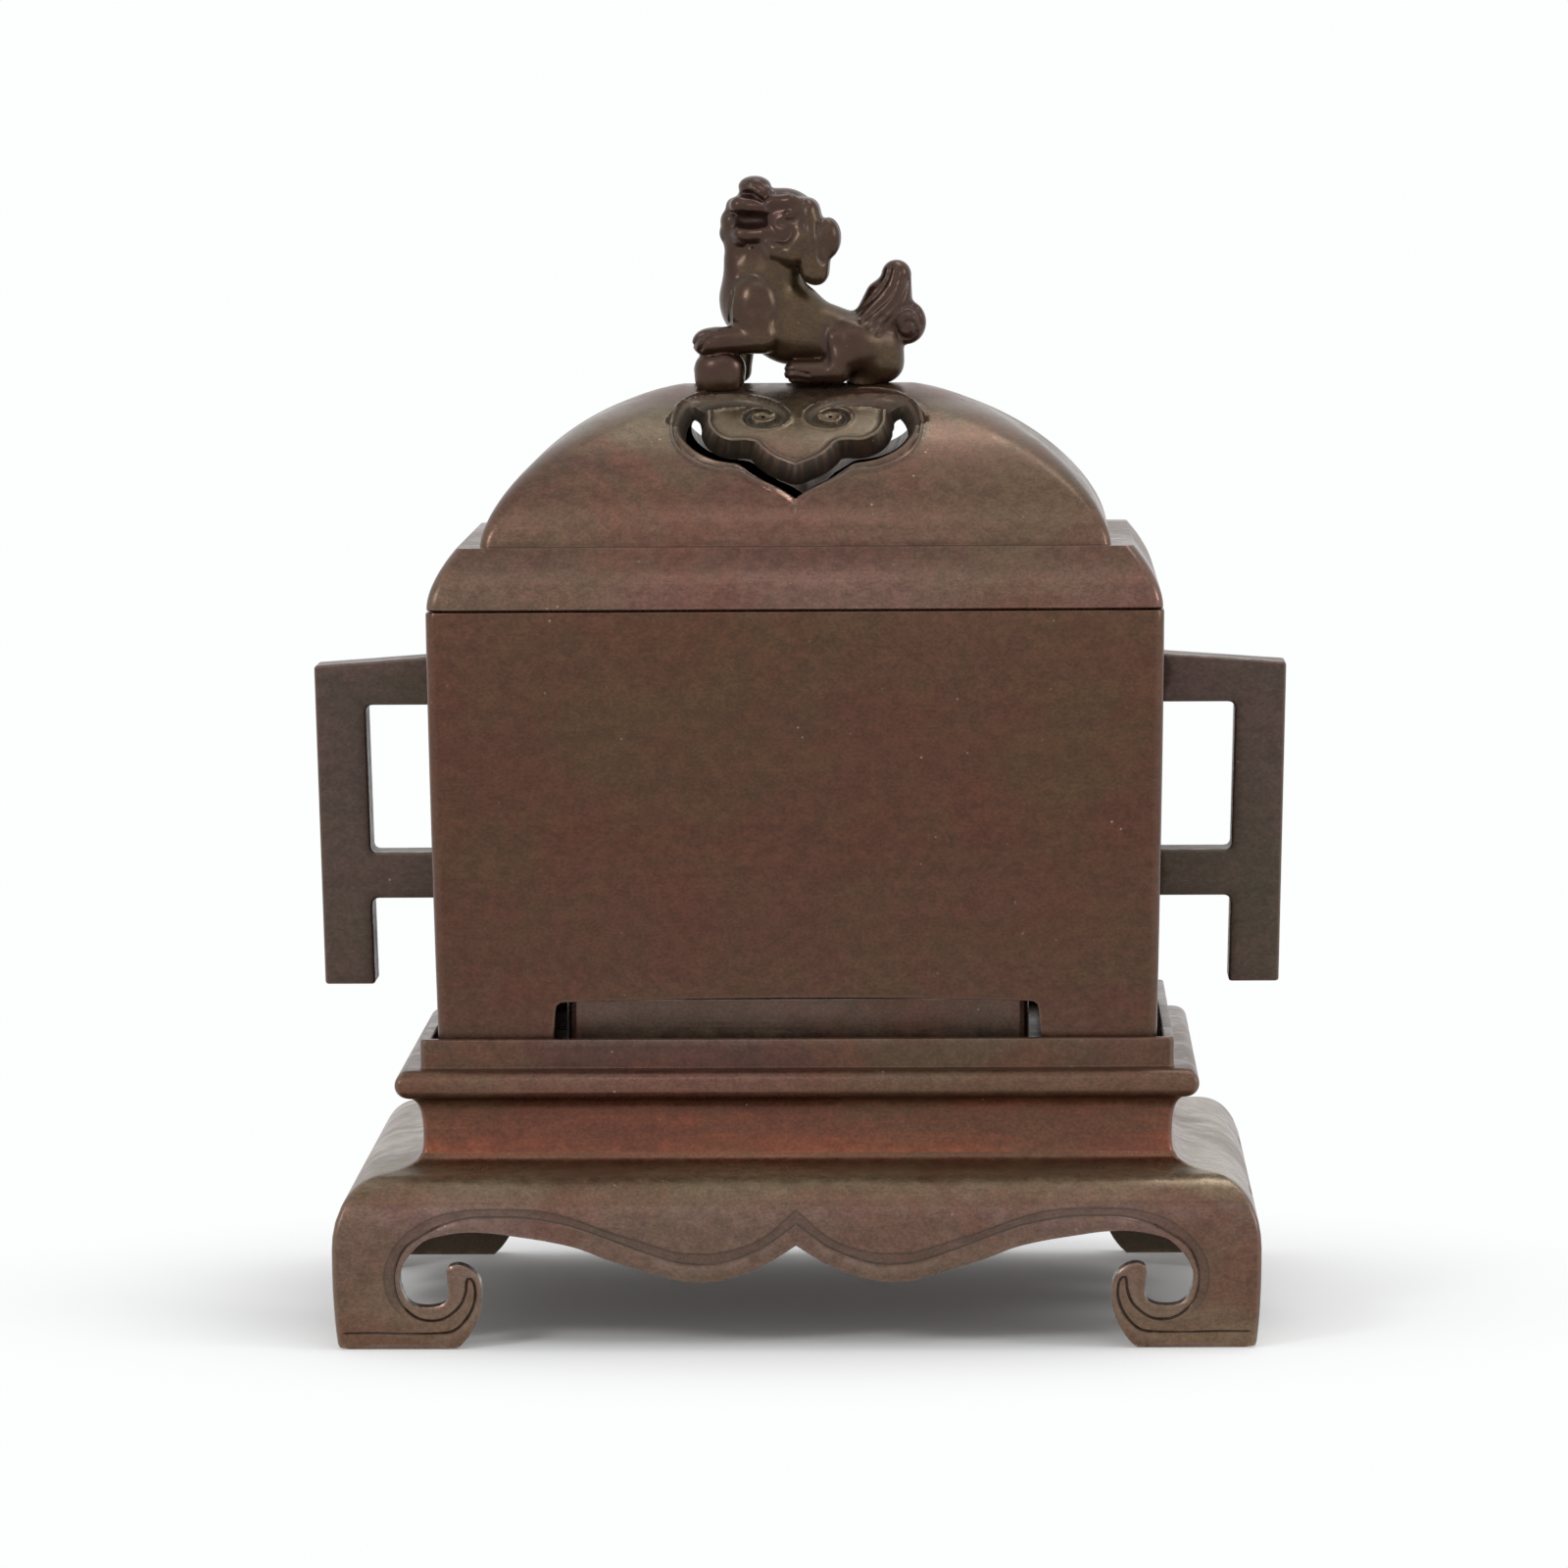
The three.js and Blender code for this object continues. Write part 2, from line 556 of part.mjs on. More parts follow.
function lidDome() {
  const hole = cloudEdge(CLOUD_WIDTH, -CLOUD_TIP, CLOUD_TOP);
  const plate = cloudEdge(PLATE_WIDTH, -PLATE_TIP, CLOUD_TOP);
  const lip = cloudEdge(CLOUD_WIDTH + LIP_WIDTH, -CLOUD_TIP - LIP_WIDTH * 1.2, CLOUD_TOP);
  const opening = cloudBands(hole, plate, 14, 8);
  const raised = cloudBands(lip, hole, 3, 8).intersect(lidOutside(LIP_RISE));
  const shell = lidOutside().add(raised);
  const bosses = [BALL_AT, RUMP_AT].map(([x, y]) => rod(BOSS_RADIUS, [x, y, BOSS_Z], [x, y, CROWN_Z - 2]));
  const holes = [BALL_AT, RUMP_AT].map(([x, y]) => (
    rod(FINIAL_SCREW_RADIUS + FIXED_GAP, [x, y, BOSS_Z - 1], [x, y, CROWN_Z + 1])
  ));
  return shell
    .subtract(lidInside())
    .add(join(bosses))
    .subtract(join([opening, ...holes]));
}

function lidCollar() {
  const bottom = LID_Z - COLLAR_DROP;
  const top = LID_Z + COLLAR_SEAT;
  const ring = block(COLLAR_HALF, bottom, top, 1.8);
  return ring.subtract(block(COLLAR_HALF - COLLAR_WALL, bottom - 1, top + 1, 1.4));
}

// Soft forms stand on the top of the crown. The lion's are drawn in hundredths of its height.
function onCrown(geometry, scale) {
  return toSolid(geometry.scale(scale, scale, scale).translate(0, 0, CROWN_Z));
}

function ball([x, y, z], radius) {
  const geometry = new THREE.SphereGeometry(radius, FORM_SIDES, FORM_ROWS);
  return onCrown(geometry.translate(x, y, z), 1);
}

function egg([x, y, z], [rx, ry, rz]) {
  const geometry = new THREE.SphereGeometry(1, FORM_SIDES, FORM_ROWS).scale(rx, ry, rz);
  return onCrown(geometry.translate(x, y, z), LION_HEIGHT / 100);
}

// A limb: two round ends and the cone that touches both.
function limb(start, startRadius, end, endRadius) {
  const from = new THREE.Vector3(...start);
  const along = new THREE.Vector3(...end).sub(from);
  const length = along.length();
  const touch = Math.asin(THREE.MathUtils.clamp((startRadius - endRadius) / length, -0.95, 0.95));
  const profile = [];
  const arc = (radius, height, first, last) => {
    for (let i = 0; i <= 3; i += 1) {
      const angle = first + (last - first) * i / 3;
      profile.push(new THREE.Vector2(Math.max(radius * Math.cos(angle), 0), height + radius * Math.sin(angle)));
    }
  };
  arc(startRadius, 0, -Math.PI / 2, touch);
  arc(endRadius, length, touch, Math.PI / 2);
  profile[0].x = 0;
  profile[profile.length - 1].x = 0;
  const geometry = new THREE.LatheGeometry(profile, FORM_SIDES);
  const turn = new THREE.Quaternion().setFromUnitVectors(new THREE.Vector3(0, 1, 0), along.normalize());
  return onCrown(geometry.applyQuaternion(turn).translate(from.x, from.y, from.z), LION_HEIGHT / 100);
}

function lionFinial() {
  const forms = [];
  // Body, chest, neck and throat.
  forms.push(limb([-10.6, 0, 31.2], 16.2, [27, 0, 17.7], 14.6));
  forms.push(egg([-19.5, 0, 38.5], [18.6, 16.4, 19]));
  forms.push(egg([-2.9, 0, 23.2], [17.7, 13.3, 15.5]));
  forms.push(limb([-19.5, 0, 38.9], 15.5, [-11.7, 0, 58.8], 15.9));
  forms.push(limb([-27.4, 0, 43.4], 8.8, [-28.1, 0, 58.8], 8.2));
  // Skull, muzzle, nose, lips and jaw.
  forms.push(egg([-5.3, 0, 73.2], [15.5, 17.7, 20.1]));
  forms.push(limb([-8.4, 0, 83.2], 11.1, [-23.9, 0, 86.7], 10.4));
  forms.push(egg([-20.8, 0, 94.7], [8.2, 9.3, 5.5]));
  forms.push(egg([-27, 0, 86.3], [7.5, 10.6, 5.3]));
  forms.push(egg([-29.6, 0, 78.8], [6.2, 8, 5.8]));
  forms.push(limb([-10.6, 0, 67.7], 10.2, [-29.6, 0, 70.8], 8.6));
  // Rump and tail, with its curl.
  forms.push(egg([38.1, 0, 14.2], [13.5, 15, 15.9]));
  forms.push(egg([39.4, 0, 6.2], [11.5, 14.6, 9.3]));
  forms.push(limb([46, 0, 33.4], 11.1, [48.2, 0, 50.4], 7.7));
  forms.push(limb([37.6, 0, 27.9], 10.2, [40.7, 0, 40.3], 8));
  forms.push(egg([52.2, 0, 27.4], [9.5, 8, 10.8]));
  for (const side of [-1, 1]) {
    // Ear, brow, cheek, shoulder, haunch and hind leg.
    forms.push(egg([13.9, side * 11.5, 68.4], [6.9, 5.8, 10]));
    forms.push(limb([11.9, side * 12.8, 64.4], 7.3, [7.7, side * 13.3, 53.5], 5.3));
    forms.push(egg([-6.2, side * 10.2, 83.8], [7.5, 5.8, 6.6]));
    forms.push(egg([-2.9, side * 13.3, 67.7], [9.7, 6.2, 9.3]));
    forms.push(egg([-20.1, side * 11.9, 36.3], [9.5, 8, 14.2]));
    forms.push(egg([25.9, side * 11.5, 17.3], [12.4, 8.8, 13.3]));
    forms.push(limb([19, side * 13.7, 16.4], 6.6, [18.6, side * 15, 4.4], 6.2));
    forms.push(limb([18.1, side * 15, 3.5], 6.4, [-1.3, side * 15.5, 3.1], 6.2));
  }
  // Near foreleg on the ball, and the far foreleg.
  forms.push(limb([-18.6, -13.3, 27.9], 8, [-18.6, -14.2, 22.1], 7.1));
  forms.push(limb([-18.6, -14.2, 22.1], 6.9, [-41.6, -12.4, 21.7], 6.4));
  forms.push(egg([-43.8, -11.9, 21.7], [7.5, 8.4, 6.4]));
  forms.push(limb([-26.5, 11.9, 30.1], 7.5, [-28.5, 12.8, 4.4], 5.8));
  forms.push(limb([-28.8, 12.8, 4], 5.8, [-45.8, 12.8, 4.9], 6.6));
  forms.push(ball(BALL_AT, BALL_RADIUS));
  const holes = [BALL_AT, RUMP_AT].map(([x, y]) => (
    rod(FINIAL_SCREW_RADIUS + FIXED_GAP, [x, y, CROWN_Z - 4], [x, y, CROWN_Z + FINIAL_SCREW_BITE + FIXED_GAP], 12)
  ));
  return join(forms).subtract(lidOutside(FIXED_GAP)).subtract(join(holes));
}

// A screw comes from inside the crown, through a washer and a boss, into the lion.
function finialScrew(x, y) {
  const under = BOSS_Z - WASHER_THICKNESS;
  const shank = rod(FINIAL_SCREW_RADIUS, [x, y, under - 0.5], [x, y, CROWN_Z + FINIAL_SCREW_BITE], 12);
  return rod(FINIAL_HEAD_RADIUS, [x, y, under - HEAD_HEIGHT], [x, y, under]).add(shank);
}

function finialWasher(x, y) {
  const under = BOSS_Z - WASHER_THICKNESS;
  const hole = rod(FINIAL_SCREW_RADIUS + FIXED_GAP, [x, y, under - 1], [x, y, BOSS_Z + 1], 12);
  return rod(BOSS_RADIUS - 0.6, [x, y, under], [x, y, BOSS_Z]).subtract(hole);
}

// Materials.
const bronze = (color, roughness = 0.45) => new THREE.MeshStandardMaterial({ color, roughness, metalness: 0.8 });
const STAND_BRONZE = bronze(0x5e4636);
const BOX_BRONZE = bronze(0x5a4633);
const LID_BRONZE = bronze(0x6a5447);
const LION_BRONZE = bronze(0x4a3632, 0.35);
const HANDLE_BRONZE = bronze(0x4a3b35, 0.55);
const COPPER = new THREE.MeshStandardMaterial({ color: 0x8a5a3c, roughness: 0.4, metalness: 1 });
const BRASS = new THREE.MeshStandardMaterial({ color: 0xa88a4a, roughness: 0.35, metalness: 1 });

function piece(name, solid, material) {
  const mesh = new THREE.Mesh(toGeometry(solid), material);
  mesh.name = name;
  return mesh;
}

// The censer, part by part.
const censer = new THREE.Group();

const stand = new THREE.Group();
stand.add(piece('stand_frame', standFrame(), STAND_BRONZE));
stand.add(piece('seat_plate', seatPlate(), STAND_BRONZE));
censer.add(stand);

const vessel = new THREE.Group();
const rightHandle = piece('handle_right', handle(), HANDLE_BRONZE);
const leftHandle = piece('handle_left', handle(), HANDLE_BRONZE);
leftHandle.rotation.z = Math.PI;
vessel.add(piece('vessel_body', vesselBody(), BOX_BRONZE));
vessel.add(piece('vessel_floor', vesselFloor(), BOX_BRONZE));
vessel.add(rightHandle, leftHandle);
for (const [side, sign] of [['left', -1], ['right', 1]]) {
  for (const [place, z] of [['upper', BAR_LEVELS[0]], ['lower', BAR_LEVELS[1]]]) {
    vessel.add(piece(`handle_screw_${side}_${place}`, handleScrew(sign, z), BRASS));
    vessel.add(piece(`handle_washer_${side}_${place}`, handleWasher(sign, z), BRASS));
  }
}
censer.add(vessel);

censer.add(piece('ash_liner', ashLiner(), COPPER));

const lid = new THREE.Group();
lid.add(piece('lid_dome', lidDome(), LID_BRONZE));
lid.add(piece('lid_collar', lidCollar(), LID_BRONZE));
lid.add(piece('lion_finial', lionFinial(), LION_BRONZE));
for (const [place, [x, y]] of [['ball', BALL_AT], ['rump', RUMP_AT]]) {
  lid.add(piece(`finial_screw_${place}`, finialScrew(x, y), BRASS));
  lid.add(piece(`finial_washer_${place}`, finialWasher(x, y), BRASS));
}
censer.add(lid);

export default censer;
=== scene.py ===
"""Looks of a covered bronze censer on its footed stand.

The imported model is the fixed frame. The stand, the box, the handles, the lid and the lion are finer
surfaces that stand for the plain solids, and every other solid keeps its shape and gets its finish.
All sizes below are millimetres unless a name says metres.
"""

from __future__ import annotations

import logging
import math
from collections.abc import Callable, Sequence
from dataclasses import dataclass, field
from enum import Enum

import bmesh
import bpy
import numpy as np
from mathutils import Matrix, Vector
from mathutils.geometry import delaunay_2d_cdt


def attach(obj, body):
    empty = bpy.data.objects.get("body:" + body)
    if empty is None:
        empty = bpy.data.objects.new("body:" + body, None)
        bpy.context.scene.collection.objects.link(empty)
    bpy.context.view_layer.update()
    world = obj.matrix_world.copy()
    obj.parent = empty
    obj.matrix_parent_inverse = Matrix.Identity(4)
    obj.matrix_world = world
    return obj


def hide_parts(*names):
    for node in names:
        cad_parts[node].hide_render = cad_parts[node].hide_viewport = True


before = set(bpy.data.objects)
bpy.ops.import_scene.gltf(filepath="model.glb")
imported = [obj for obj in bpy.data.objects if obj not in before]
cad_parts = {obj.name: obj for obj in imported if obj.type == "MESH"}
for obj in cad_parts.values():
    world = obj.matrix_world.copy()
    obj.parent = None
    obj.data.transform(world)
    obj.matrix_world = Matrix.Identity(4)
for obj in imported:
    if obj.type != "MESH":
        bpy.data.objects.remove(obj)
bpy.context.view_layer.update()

MM = 0.001
# At every level the half depth is the half width less this.
MITRE = 24.6
# How much wear and painted highlight the middle of a rounded corner gets.
CORNER_WEAR_AND_HIGHLIGHT = 0.34
LOG = logging.getLogger("censer")

Array = np.ndarray
Curve = Sequence[tuple[float, float]]


class Side(Enum):
    """The four upright faces of the object, by how far each is turned about the middle."""

    FRONT = 0
    RIGHT = 1
    BACK = 2
    LEFT = 3

    @property
    def long(self) -> bool:
        """Whether this is one of the two wide faces."""
        return self in (Side.FRONT, Side.BACK)


# Lines in a flat domain.


class Stroke:
    """A line drawn in two dimensions with straight, curved and round strokes."""

    def __init__(self, x: float, y: float) -> None:
        """Starts the line at a point."""
        self.runs: list[Array] = [np.array([[x, y]], float)]

    @property
    def end(self) -> Array:
        """The point that the line has reached."""
        return self.runs[-1][-1]

    def line(self, x: float, y: float) -> Stroke:
        """Goes straight to a point."""
        self.runs.append(np.array([[x, y]], float))
        return self

    def curve(self, knots: Curve, steps: int = 10) -> Stroke:
        """Goes on with a Bezier curve of any order: the sum of its knots weighted by Bernstein's terms.

        Args:
            knots: the control points after the present end, the last of them being the new end.
            steps: how many straight pieces stand for the curve.

        Returns:
            The same line.
        """
        points = np.vstack([self.end[None], np.array(knots, float)])
        order = len(points) - 1
        t = np.linspace(0, 1, steps + 1)[1:, None]
        weights = [math.comb(order, k) * t**k * (1 - t) ** (order - k) for k in range(order + 1)]
        self.runs.append(sum(weight * point for weight, point in zip(weights, points)))
        return self

    def arc(self, x: float, y: float, radius: float, start: float, stop: float, steps: int = 10) -> Stroke:
        """Goes on round a centre, from one angle to another, in degrees."""
        angle = np.radians(np.linspace(start, stop, steps + 1))
        self.runs.append(np.column_stack([x + radius * np.cos(angle), y + radius * np.sin(angle)]))
        return self

    def points(self) -> Array:
        """The whole line, without repeated points."""
        whole = np.vstack(self.runs)
        step = np.linalg.norm(np.diff(whole, axis=0), axis=1)
        return whole[np.concatenate([[True], step > 1e-6])]


def lengths(line: Array) -> Array:
    """How far along a line each of its points is."""
    return np.concatenate([[0], np.cumsum(np.linalg.norm(np.diff(line, axis=0), axis=1))])


def read(table: Array, keys: Array, at: Array) -> Array:
    """Rows read between the rows of a table, by straight interpolation."""
    return np.column_stack([np.interp(at, keys, column) for column in table.T])


def resample(line: Array, spacing: float) -> Array:
    """Points at an even spacing along a line, its ends included."""
    length = lengths(line)
    count = max(int(round(length[-1] / spacing)), 1) + 1
    return read(line, length, np.linspace(0, length[-1], count))


def spline(knots: Curve | Array, spacing: float) -> Array:
    """A Catmull-Rom curve through the knots, sampled evenly.

    Each span is the cubic whose end slopes are half the chord between the neighbouring knots.

    Args:
        knots: the points to go through.
        spacing: the wanted step.

    Returns:
        The curve's points.
    """
    inner = np.asarray(knots, float)
    ends = np.vstack([2 * inner[0] - inner[1], inner, 2 * inner[-1] - inner[-2]])
    a, b, c, d = ends[:-3, None], ends[1:-2, None], ends[2:-1, None], ends[3:, None]
    t = np.linspace(0, 1, 17)[:-1][None, :, None]
    spans = 0.5 * (2 * b + (c - a) * t + (2 * a - 5 * b + 4 * c - d) * t**2 + (3 * b - a - 3 * c + d) * t**3)
    return resample(np.vstack([spans.reshape(-1, inner.shape[1]), inner[-1:]]), spacing)


def offset(line: Array, distance: float | Array) -> Array:
    """The line moved sideways, to its left where the distance is positive.

    Args:
        line: the points.
        distance: how far, for all or for each point.

    Returns:
        The moved points.
    """
    slope = np.gradient(line, axis=0)
    slope /= np.maximum(np.linalg.norm(slope, axis=1, keepdims=True), 1e-9)
    left = np.column_stack([-slope[:, 1], slope[:, 0]])
    return line + left * np.reshape(np.broadcast_to(distance, len(line)), (-1, 1))


def drawn_in(x: Array, keep: float | Array, limit: float | Array, deep_limit: float | Array) -> Array:
    """Places across a wall's outer skin carried to its inner one: the same up to a width, then squeezed.

    Args:
        x: places across the outer skin.
        keep: the width up to which they stay.
        limit: the outer skin's width.
        deep_limit: the inner skin's width.

    Returns:
        The places across the inner skin.
    """
    size = np.abs(x)
    share = (size - keep) / np.maximum(limit - keep, 1e-6)
    return np.where(size > keep, np.sign(x) * (keep + share * (deep_limit - keep)), x)


def mirrored(half: Array) -> Array:
    """A line from the far left to the far right, from its right half that starts in the middle."""
    return np.vstack([half[::-1] * [-1, 1], half[1:]])


@dataclass
class Nearness:
    """How points lie to a line: distance, length along the line to the nearest place, and side."""

    distance: Array
    station: Array
    left: Array

    @classmethod
    def of(cls, points: Array, line: Array) -> Nearness:
        """Measures every point against every straight piece of the line and keeps the nearest.

        Args:
            points: the points.
            line: the line's points.

        Returns:
            The three measures, one per point.
        """
        start, run = line[:-1], np.diff(line, axis=0)
        squared = np.maximum((run**2).sum(1), 1e-12)
        length = np.concatenate([[0], np.cumsum(np.sqrt(squared))])
        parts = []
        for chunk in np.array_split(points, max(len(points) // 4000, 1)):
            away = chunk[:, None] - start[None]
            share = np.clip((away * run).sum(2) / squared, 0, 1)
            gap = away - share[..., None] * run
            distance = np.sqrt((gap**2).sum(2))
            best = distance.argmin(1)
            row = np.arange(len(chunk))
            station = length[best] + share[row, best] * np.sqrt(squared[best])
            cross = run[best, 0] * away[row, best, 1] - run[best, 1] * away[row, best, 0]
            parts.append(np.column_stack([distance[row, best], station, cross >= 0]))
        found = np.vstack(parts)
        return cls(found[:, 0], found[:, 1], found[:, 2] > 0.5)


def inside(points: Array, loops: Sequence[Array]) -> Array:
    """Whether each point is inside the loops, by the parity of the edges crossed on the way to the right.

    Args:
        points: the points.
        loops: closed outlines.

    Returns:
        True or false for each point.
    """
    count = np.zeros(len(points), int)
    for loop in loops:
        start, stop = loop, np.roll(loop, -1, axis=0)
        low = start[None, :, 1] > points[:, None, 1]
        high = stop[None, :, 1] > points[:, None, 1]
        rise = np.where(np.abs(stop[:, 1] - start[:, 1]) < 1e-12, 1e-12, stop[:, 1] - start[:, 1])
        share = (points[:, None, 1] - start[None, :, 1]) / rise[None]
        crossing = start[None, :, 0] + share * (stop[:, 0] - start[:, 0])[None]
        count += ((low != high) & (crossing > points[:, None, 0])).sum(1)
    return count % 2 == 1


def lattice(low: Sequence[float], high: Sequence[float], spacing: float) -> Array:
    """Evenly spread points in a rectangle, every other row half a step along.

    Args:
        low: the rectangle's first corner.
        high: the opposite one.
        spacing: the wanted step.

    Returns:
        The points.
    """
    across = np.arange(low[0] + spacing / 2, high[0], spacing)
    upward = np.arange(low[1] + spacing / 2, high[1], spacing * 0.87)
    points = np.stack(np.meshgrid(across, upward, indexing="ij"), -1)
    points[:, ::2, 0] += spacing / 2
    return points.reshape(-1, 2)


def outside_box(
    points: Array, low: Sequence[float], high: Sequence[float], clear: tuple[float, float, float]
) -> Array:
    """Whether each point is outside a rectangle made larger at its sides, its foot and its top.

    Args:
        points: the points.
        low: the rectangle's first corner.
        high: the opposite one.
        clear: how much larger it is made at its sides, its foot and its top.

    Returns:
        True or false for each point.
    """
    side, foot, top = clear
    x, y = points.T
    return (x < low[0] - side) | (x > high[0] + side) | (y < low[1] - foot) | (y > high[1] + top)


@dataclass
class Sheet:
    """A flat domain cut into triangles: its points, the triangles and the edges of its border."""

    points: Array
    triangles: Array
    border: Array

    @classmethod
    def cut(
        cls, loops: Sequence[Array], lines: Sequence[Array], grids: Sequence[Array], clear: float
    ) -> Sheet:
        """Fills loops with triangles that follow the given lines.

        Args:
            loops: closed outlines, the outer one first.
            lines: open lines that edges of the triangles must follow.
            grids: loose points to lie in between.
            clear: how near a loose point may come to an outline or line.

        Returns:
            The sheet, by constrained Delaunay triangulation.
        """
        closed = [np.vstack([loop, loop[:1]]) for loop in loops]
        loose = np.vstack(grids)
        loose = loose[inside(loose, loops)]
        for line in [*closed, *lines]:
            loose = loose[Nearness.of(loose, line).distance > clear]
        vertices: list[Array] = []
        edges: list[tuple[int, int]] = []
        base = 0
        for line, joined in [*((loop, True) for loop in loops), *((line, False) for line in lines)]:
            count = len(line)
            vertices.append(line)
            edges += [(base + k, base + k + 1) for k in range(count - 1)]
            if joined:
                edges.append((base + count - 1, base))
            base += count
        vertices.append(loose)
        flat = [Vector(point) for point in np.vstack(vertices).tolist()]
        result = delaunay_2d_cdt(flat, edges, [], 0, 1e-4, False)
        points = np.array([vertex[:] for vertex in result[0]])
        triangles = np.array([face for face in result[2] if len(face) == 3])
        triangles = triangles[inside(points[triangles].mean(1), loops)]
        used, flat_index = np.unique(triangles, return_inverse=True)
        triangles = flat_index.reshape(-1, 3)
        points = points[used]
        pairs = np.vstack([triangles[:, [first, second]] for first, second in ((0, 1), (1, 2), (2, 0))])
        unique, times = np.unique(np.sort(pairs, axis=1), axis=0, return_counts=True)
        return cls(points, triangles, unique[times == 1])


# Meshes.


class Shell:
    """A mesh under construction, with two values on its points: how much painted shade and patina each gets,
    and how much wear and painted highlight.
    """

    def __init__(self) -> None:
        """Starts with nothing."""
        self.points: list[Array] = []
        self.faces: list[list[int]] = []
        self.shade_and_patina: list[Array] = []
        self.wear_and_highlight: list[Array] = []
        self.count = 0

    def add(
        self, points: Array, faces: Array, shade_and_patina: Array | None = None, wear_and_highlight: Array | None = None
    ) -> None:
        """Adds a patch.

        Args:
            points: its points in millimetres.
            faces: rows of point numbers, three or four to a row.
            shade_and_patina: 1 at the bottom of a groove, where shade and patina are painted darkest, 0 on
                the open surface.
            wear_and_highlight: 1 on an edge that hands and cloths rub and where a painted highlight runs, 0
                elsewhere.
        """
        self.faces += (np.asarray(faces) + self.count).tolist()
        self.points.append(points)
        self.shade_and_patina.append(np.zeros(len(points)) if shade_and_patina is None else shade_and_patina)
        self.wear_and_highlight.append(np.zeros(len(points)) if wear_and_highlight is None else wear_and_highlight)
        self.count += len(points)

    def grid(self, rows: Array, closed: bool = False, worn: Array | None = None) -> None:
        """Adds the surface through rows of points, of shape rows by columns by three.

        Args:
            rows: the points.
            closed: whether the last column joins the first.
            worn: how much wear and painted highlight each column gets.
        """
        wear_and_highlight = None if worn is None else np.tile(worn, rows.shape[0])
        self.add(rows.reshape(-1, 3), grid_faces(rows.shape[0], rows.shape[1], closed), None, wear_and_highlight)

    def ribbon(self, first: Array, second: Array, edges: Array, shade_and_patina: float = 0.0) -> None:
        """Adds the wall between matching points of two patches, over the given edges.

        Args:
            first: the points of one patch.
            second: the points of the other.
            edges: pairs of point numbers that hold for both.
            shade_and_patina: how much painted shade and patina the wall gets.
        """
        count = len(first)
        faces = np.column_stack([edges[:, 0], edges[:, 1], edges[:, 1] + count, edges[:, 0] + count])
        used, index = np.unique(faces, return_inverse=True)
        self.add(np.vstack([first, second])[used], index.reshape(-1, 4), np.full(len(used), shade_and_patina))

    def lid(self, around: Array) -> None:
        """Adds one flat face over a ring of points."""
        self.add(around, [list(range(len(around)))])

    def build(self, name: str, crease: float = 34, weld: float = 0.004) -> bpy.types.Object:
        """Makes the object: points that meet are merged, faces turned outwards, and edges sharper than
        the crease angle kept sharp.

        Args:
            name: the piece's name.
            crease: in degrees.
            weld: how near two points must be to become one.

        Returns:
            The object, at the origin.
        """
        mesh = bpy.data.meshes.new(name)
        mesh.from_pydata((np.vstack(self.points) * MM).tolist(), [], self.faces)
        for label, values in (("shade_and_patina", self.shade_and_patina), ("wear_and_highlight", self.wear_and_highlight)):
            layer = mesh.attributes.new(label, "FLOAT", "POINT")
            layer.data.foreach_set("value", np.concatenate(values).astype(np.float32))
        work = bmesh.new()
        work.from_mesh(mesh)
        bmesh.ops.remove_doubles(work, verts=work.verts, dist=weld * MM)
        bmesh.ops.dissolve_degenerate(work, edges=work.edges, dist=1e-8)
        bmesh.ops.recalc_face_normals(work, faces=work.faces)
        open_edges = sum(not edge.is_manifold for edge in work.edges)
        work.to_mesh(mesh)
        work.free()
        mesh.shade_smooth()
        mesh.set_sharp_from_angle(angle=math.radians(crease))
        piece = bpy.data.objects.new(name, mesh)
        bpy.context.scene.collection.objects.link(piece)
        counts = (len(mesh.vertices), len(mesh.polygons), open_edges)
        LOG.info("%s: %d points, %d faces, %d open edges", name, *counts)
        return piece


def grid_faces(rows: int, columns: int, closed: bool = False) -> Array:
    """Four-sided faces over a grid of points counted row by row.

    Args:
        rows: how many rows.
        columns: how many points to a row.
        closed: whether rows close.

    Returns:
        Four point numbers to a face.
    """
    across = np.arange(columns if closed else columns - 1)
    low = (np.arange(rows - 1) * columns)[:, None] + across[None]
    next_low = (np.arange(rows - 1) * columns)[:, None] + ((across + 1) % columns)[None]
    return np.stack([low, next_low, next_low + columns, low + columns], -1).reshape(-1, 4)


@dataclass
class Level:
    """One level of a mitred solid: half width, height and corner radius."""

    half: float
    z: float
    corner: float


@dataclass
class Columns:
    """Where the points of a level stand along its wide and its narrow faces, from -1 to 1."""

    wide: Array
    narrow: Array

    @classmethod
    def even(cls, wide: int, narrow: int) -> Columns:
        """Evenly spread points."""
        return cls(np.linspace(-1, 1, wide), np.linspace(-1, 1, narrow))


def ring(level: Level, columns: Columns, steps: int) -> Array:
    """The points round one level: a rectangle whose corners are quarter circles.

    The front and the right face with their corners are worked out, and the other half is the same
    turned by half a circle.

    Args:
        level: the level.
        columns: where its points stand along the faces.
        steps: how many straight pieces make a corner.

    Returns:
        The points, from the left end of the front round.
    """
    half, depth, corner = level.half, level.half - MITRE, level.corner
    arc = np.radians(np.linspace(0, 90, steps + 1))[1:-1]
    front = np.column_stack([columns.wide * (half - corner), np.full(len(columns.wide), -depth)])
    right = np.column_stack([np.full(len(columns.narrow), half), columns.narrow * (depth - corner)])
    near = np.column_stack([half - corner + corner * np.sin(arc), corner - depth - corner * np.cos(arc)])
    far = np.column_stack([half - corner + corner * np.cos(arc), depth - corner + corner * np.sin(arc)])
    part = np.vstack([front, near, right, far])
    whole = np.vstack([part, -part])
    return np.column_stack([whole, np.full(len(whole), level.z)])


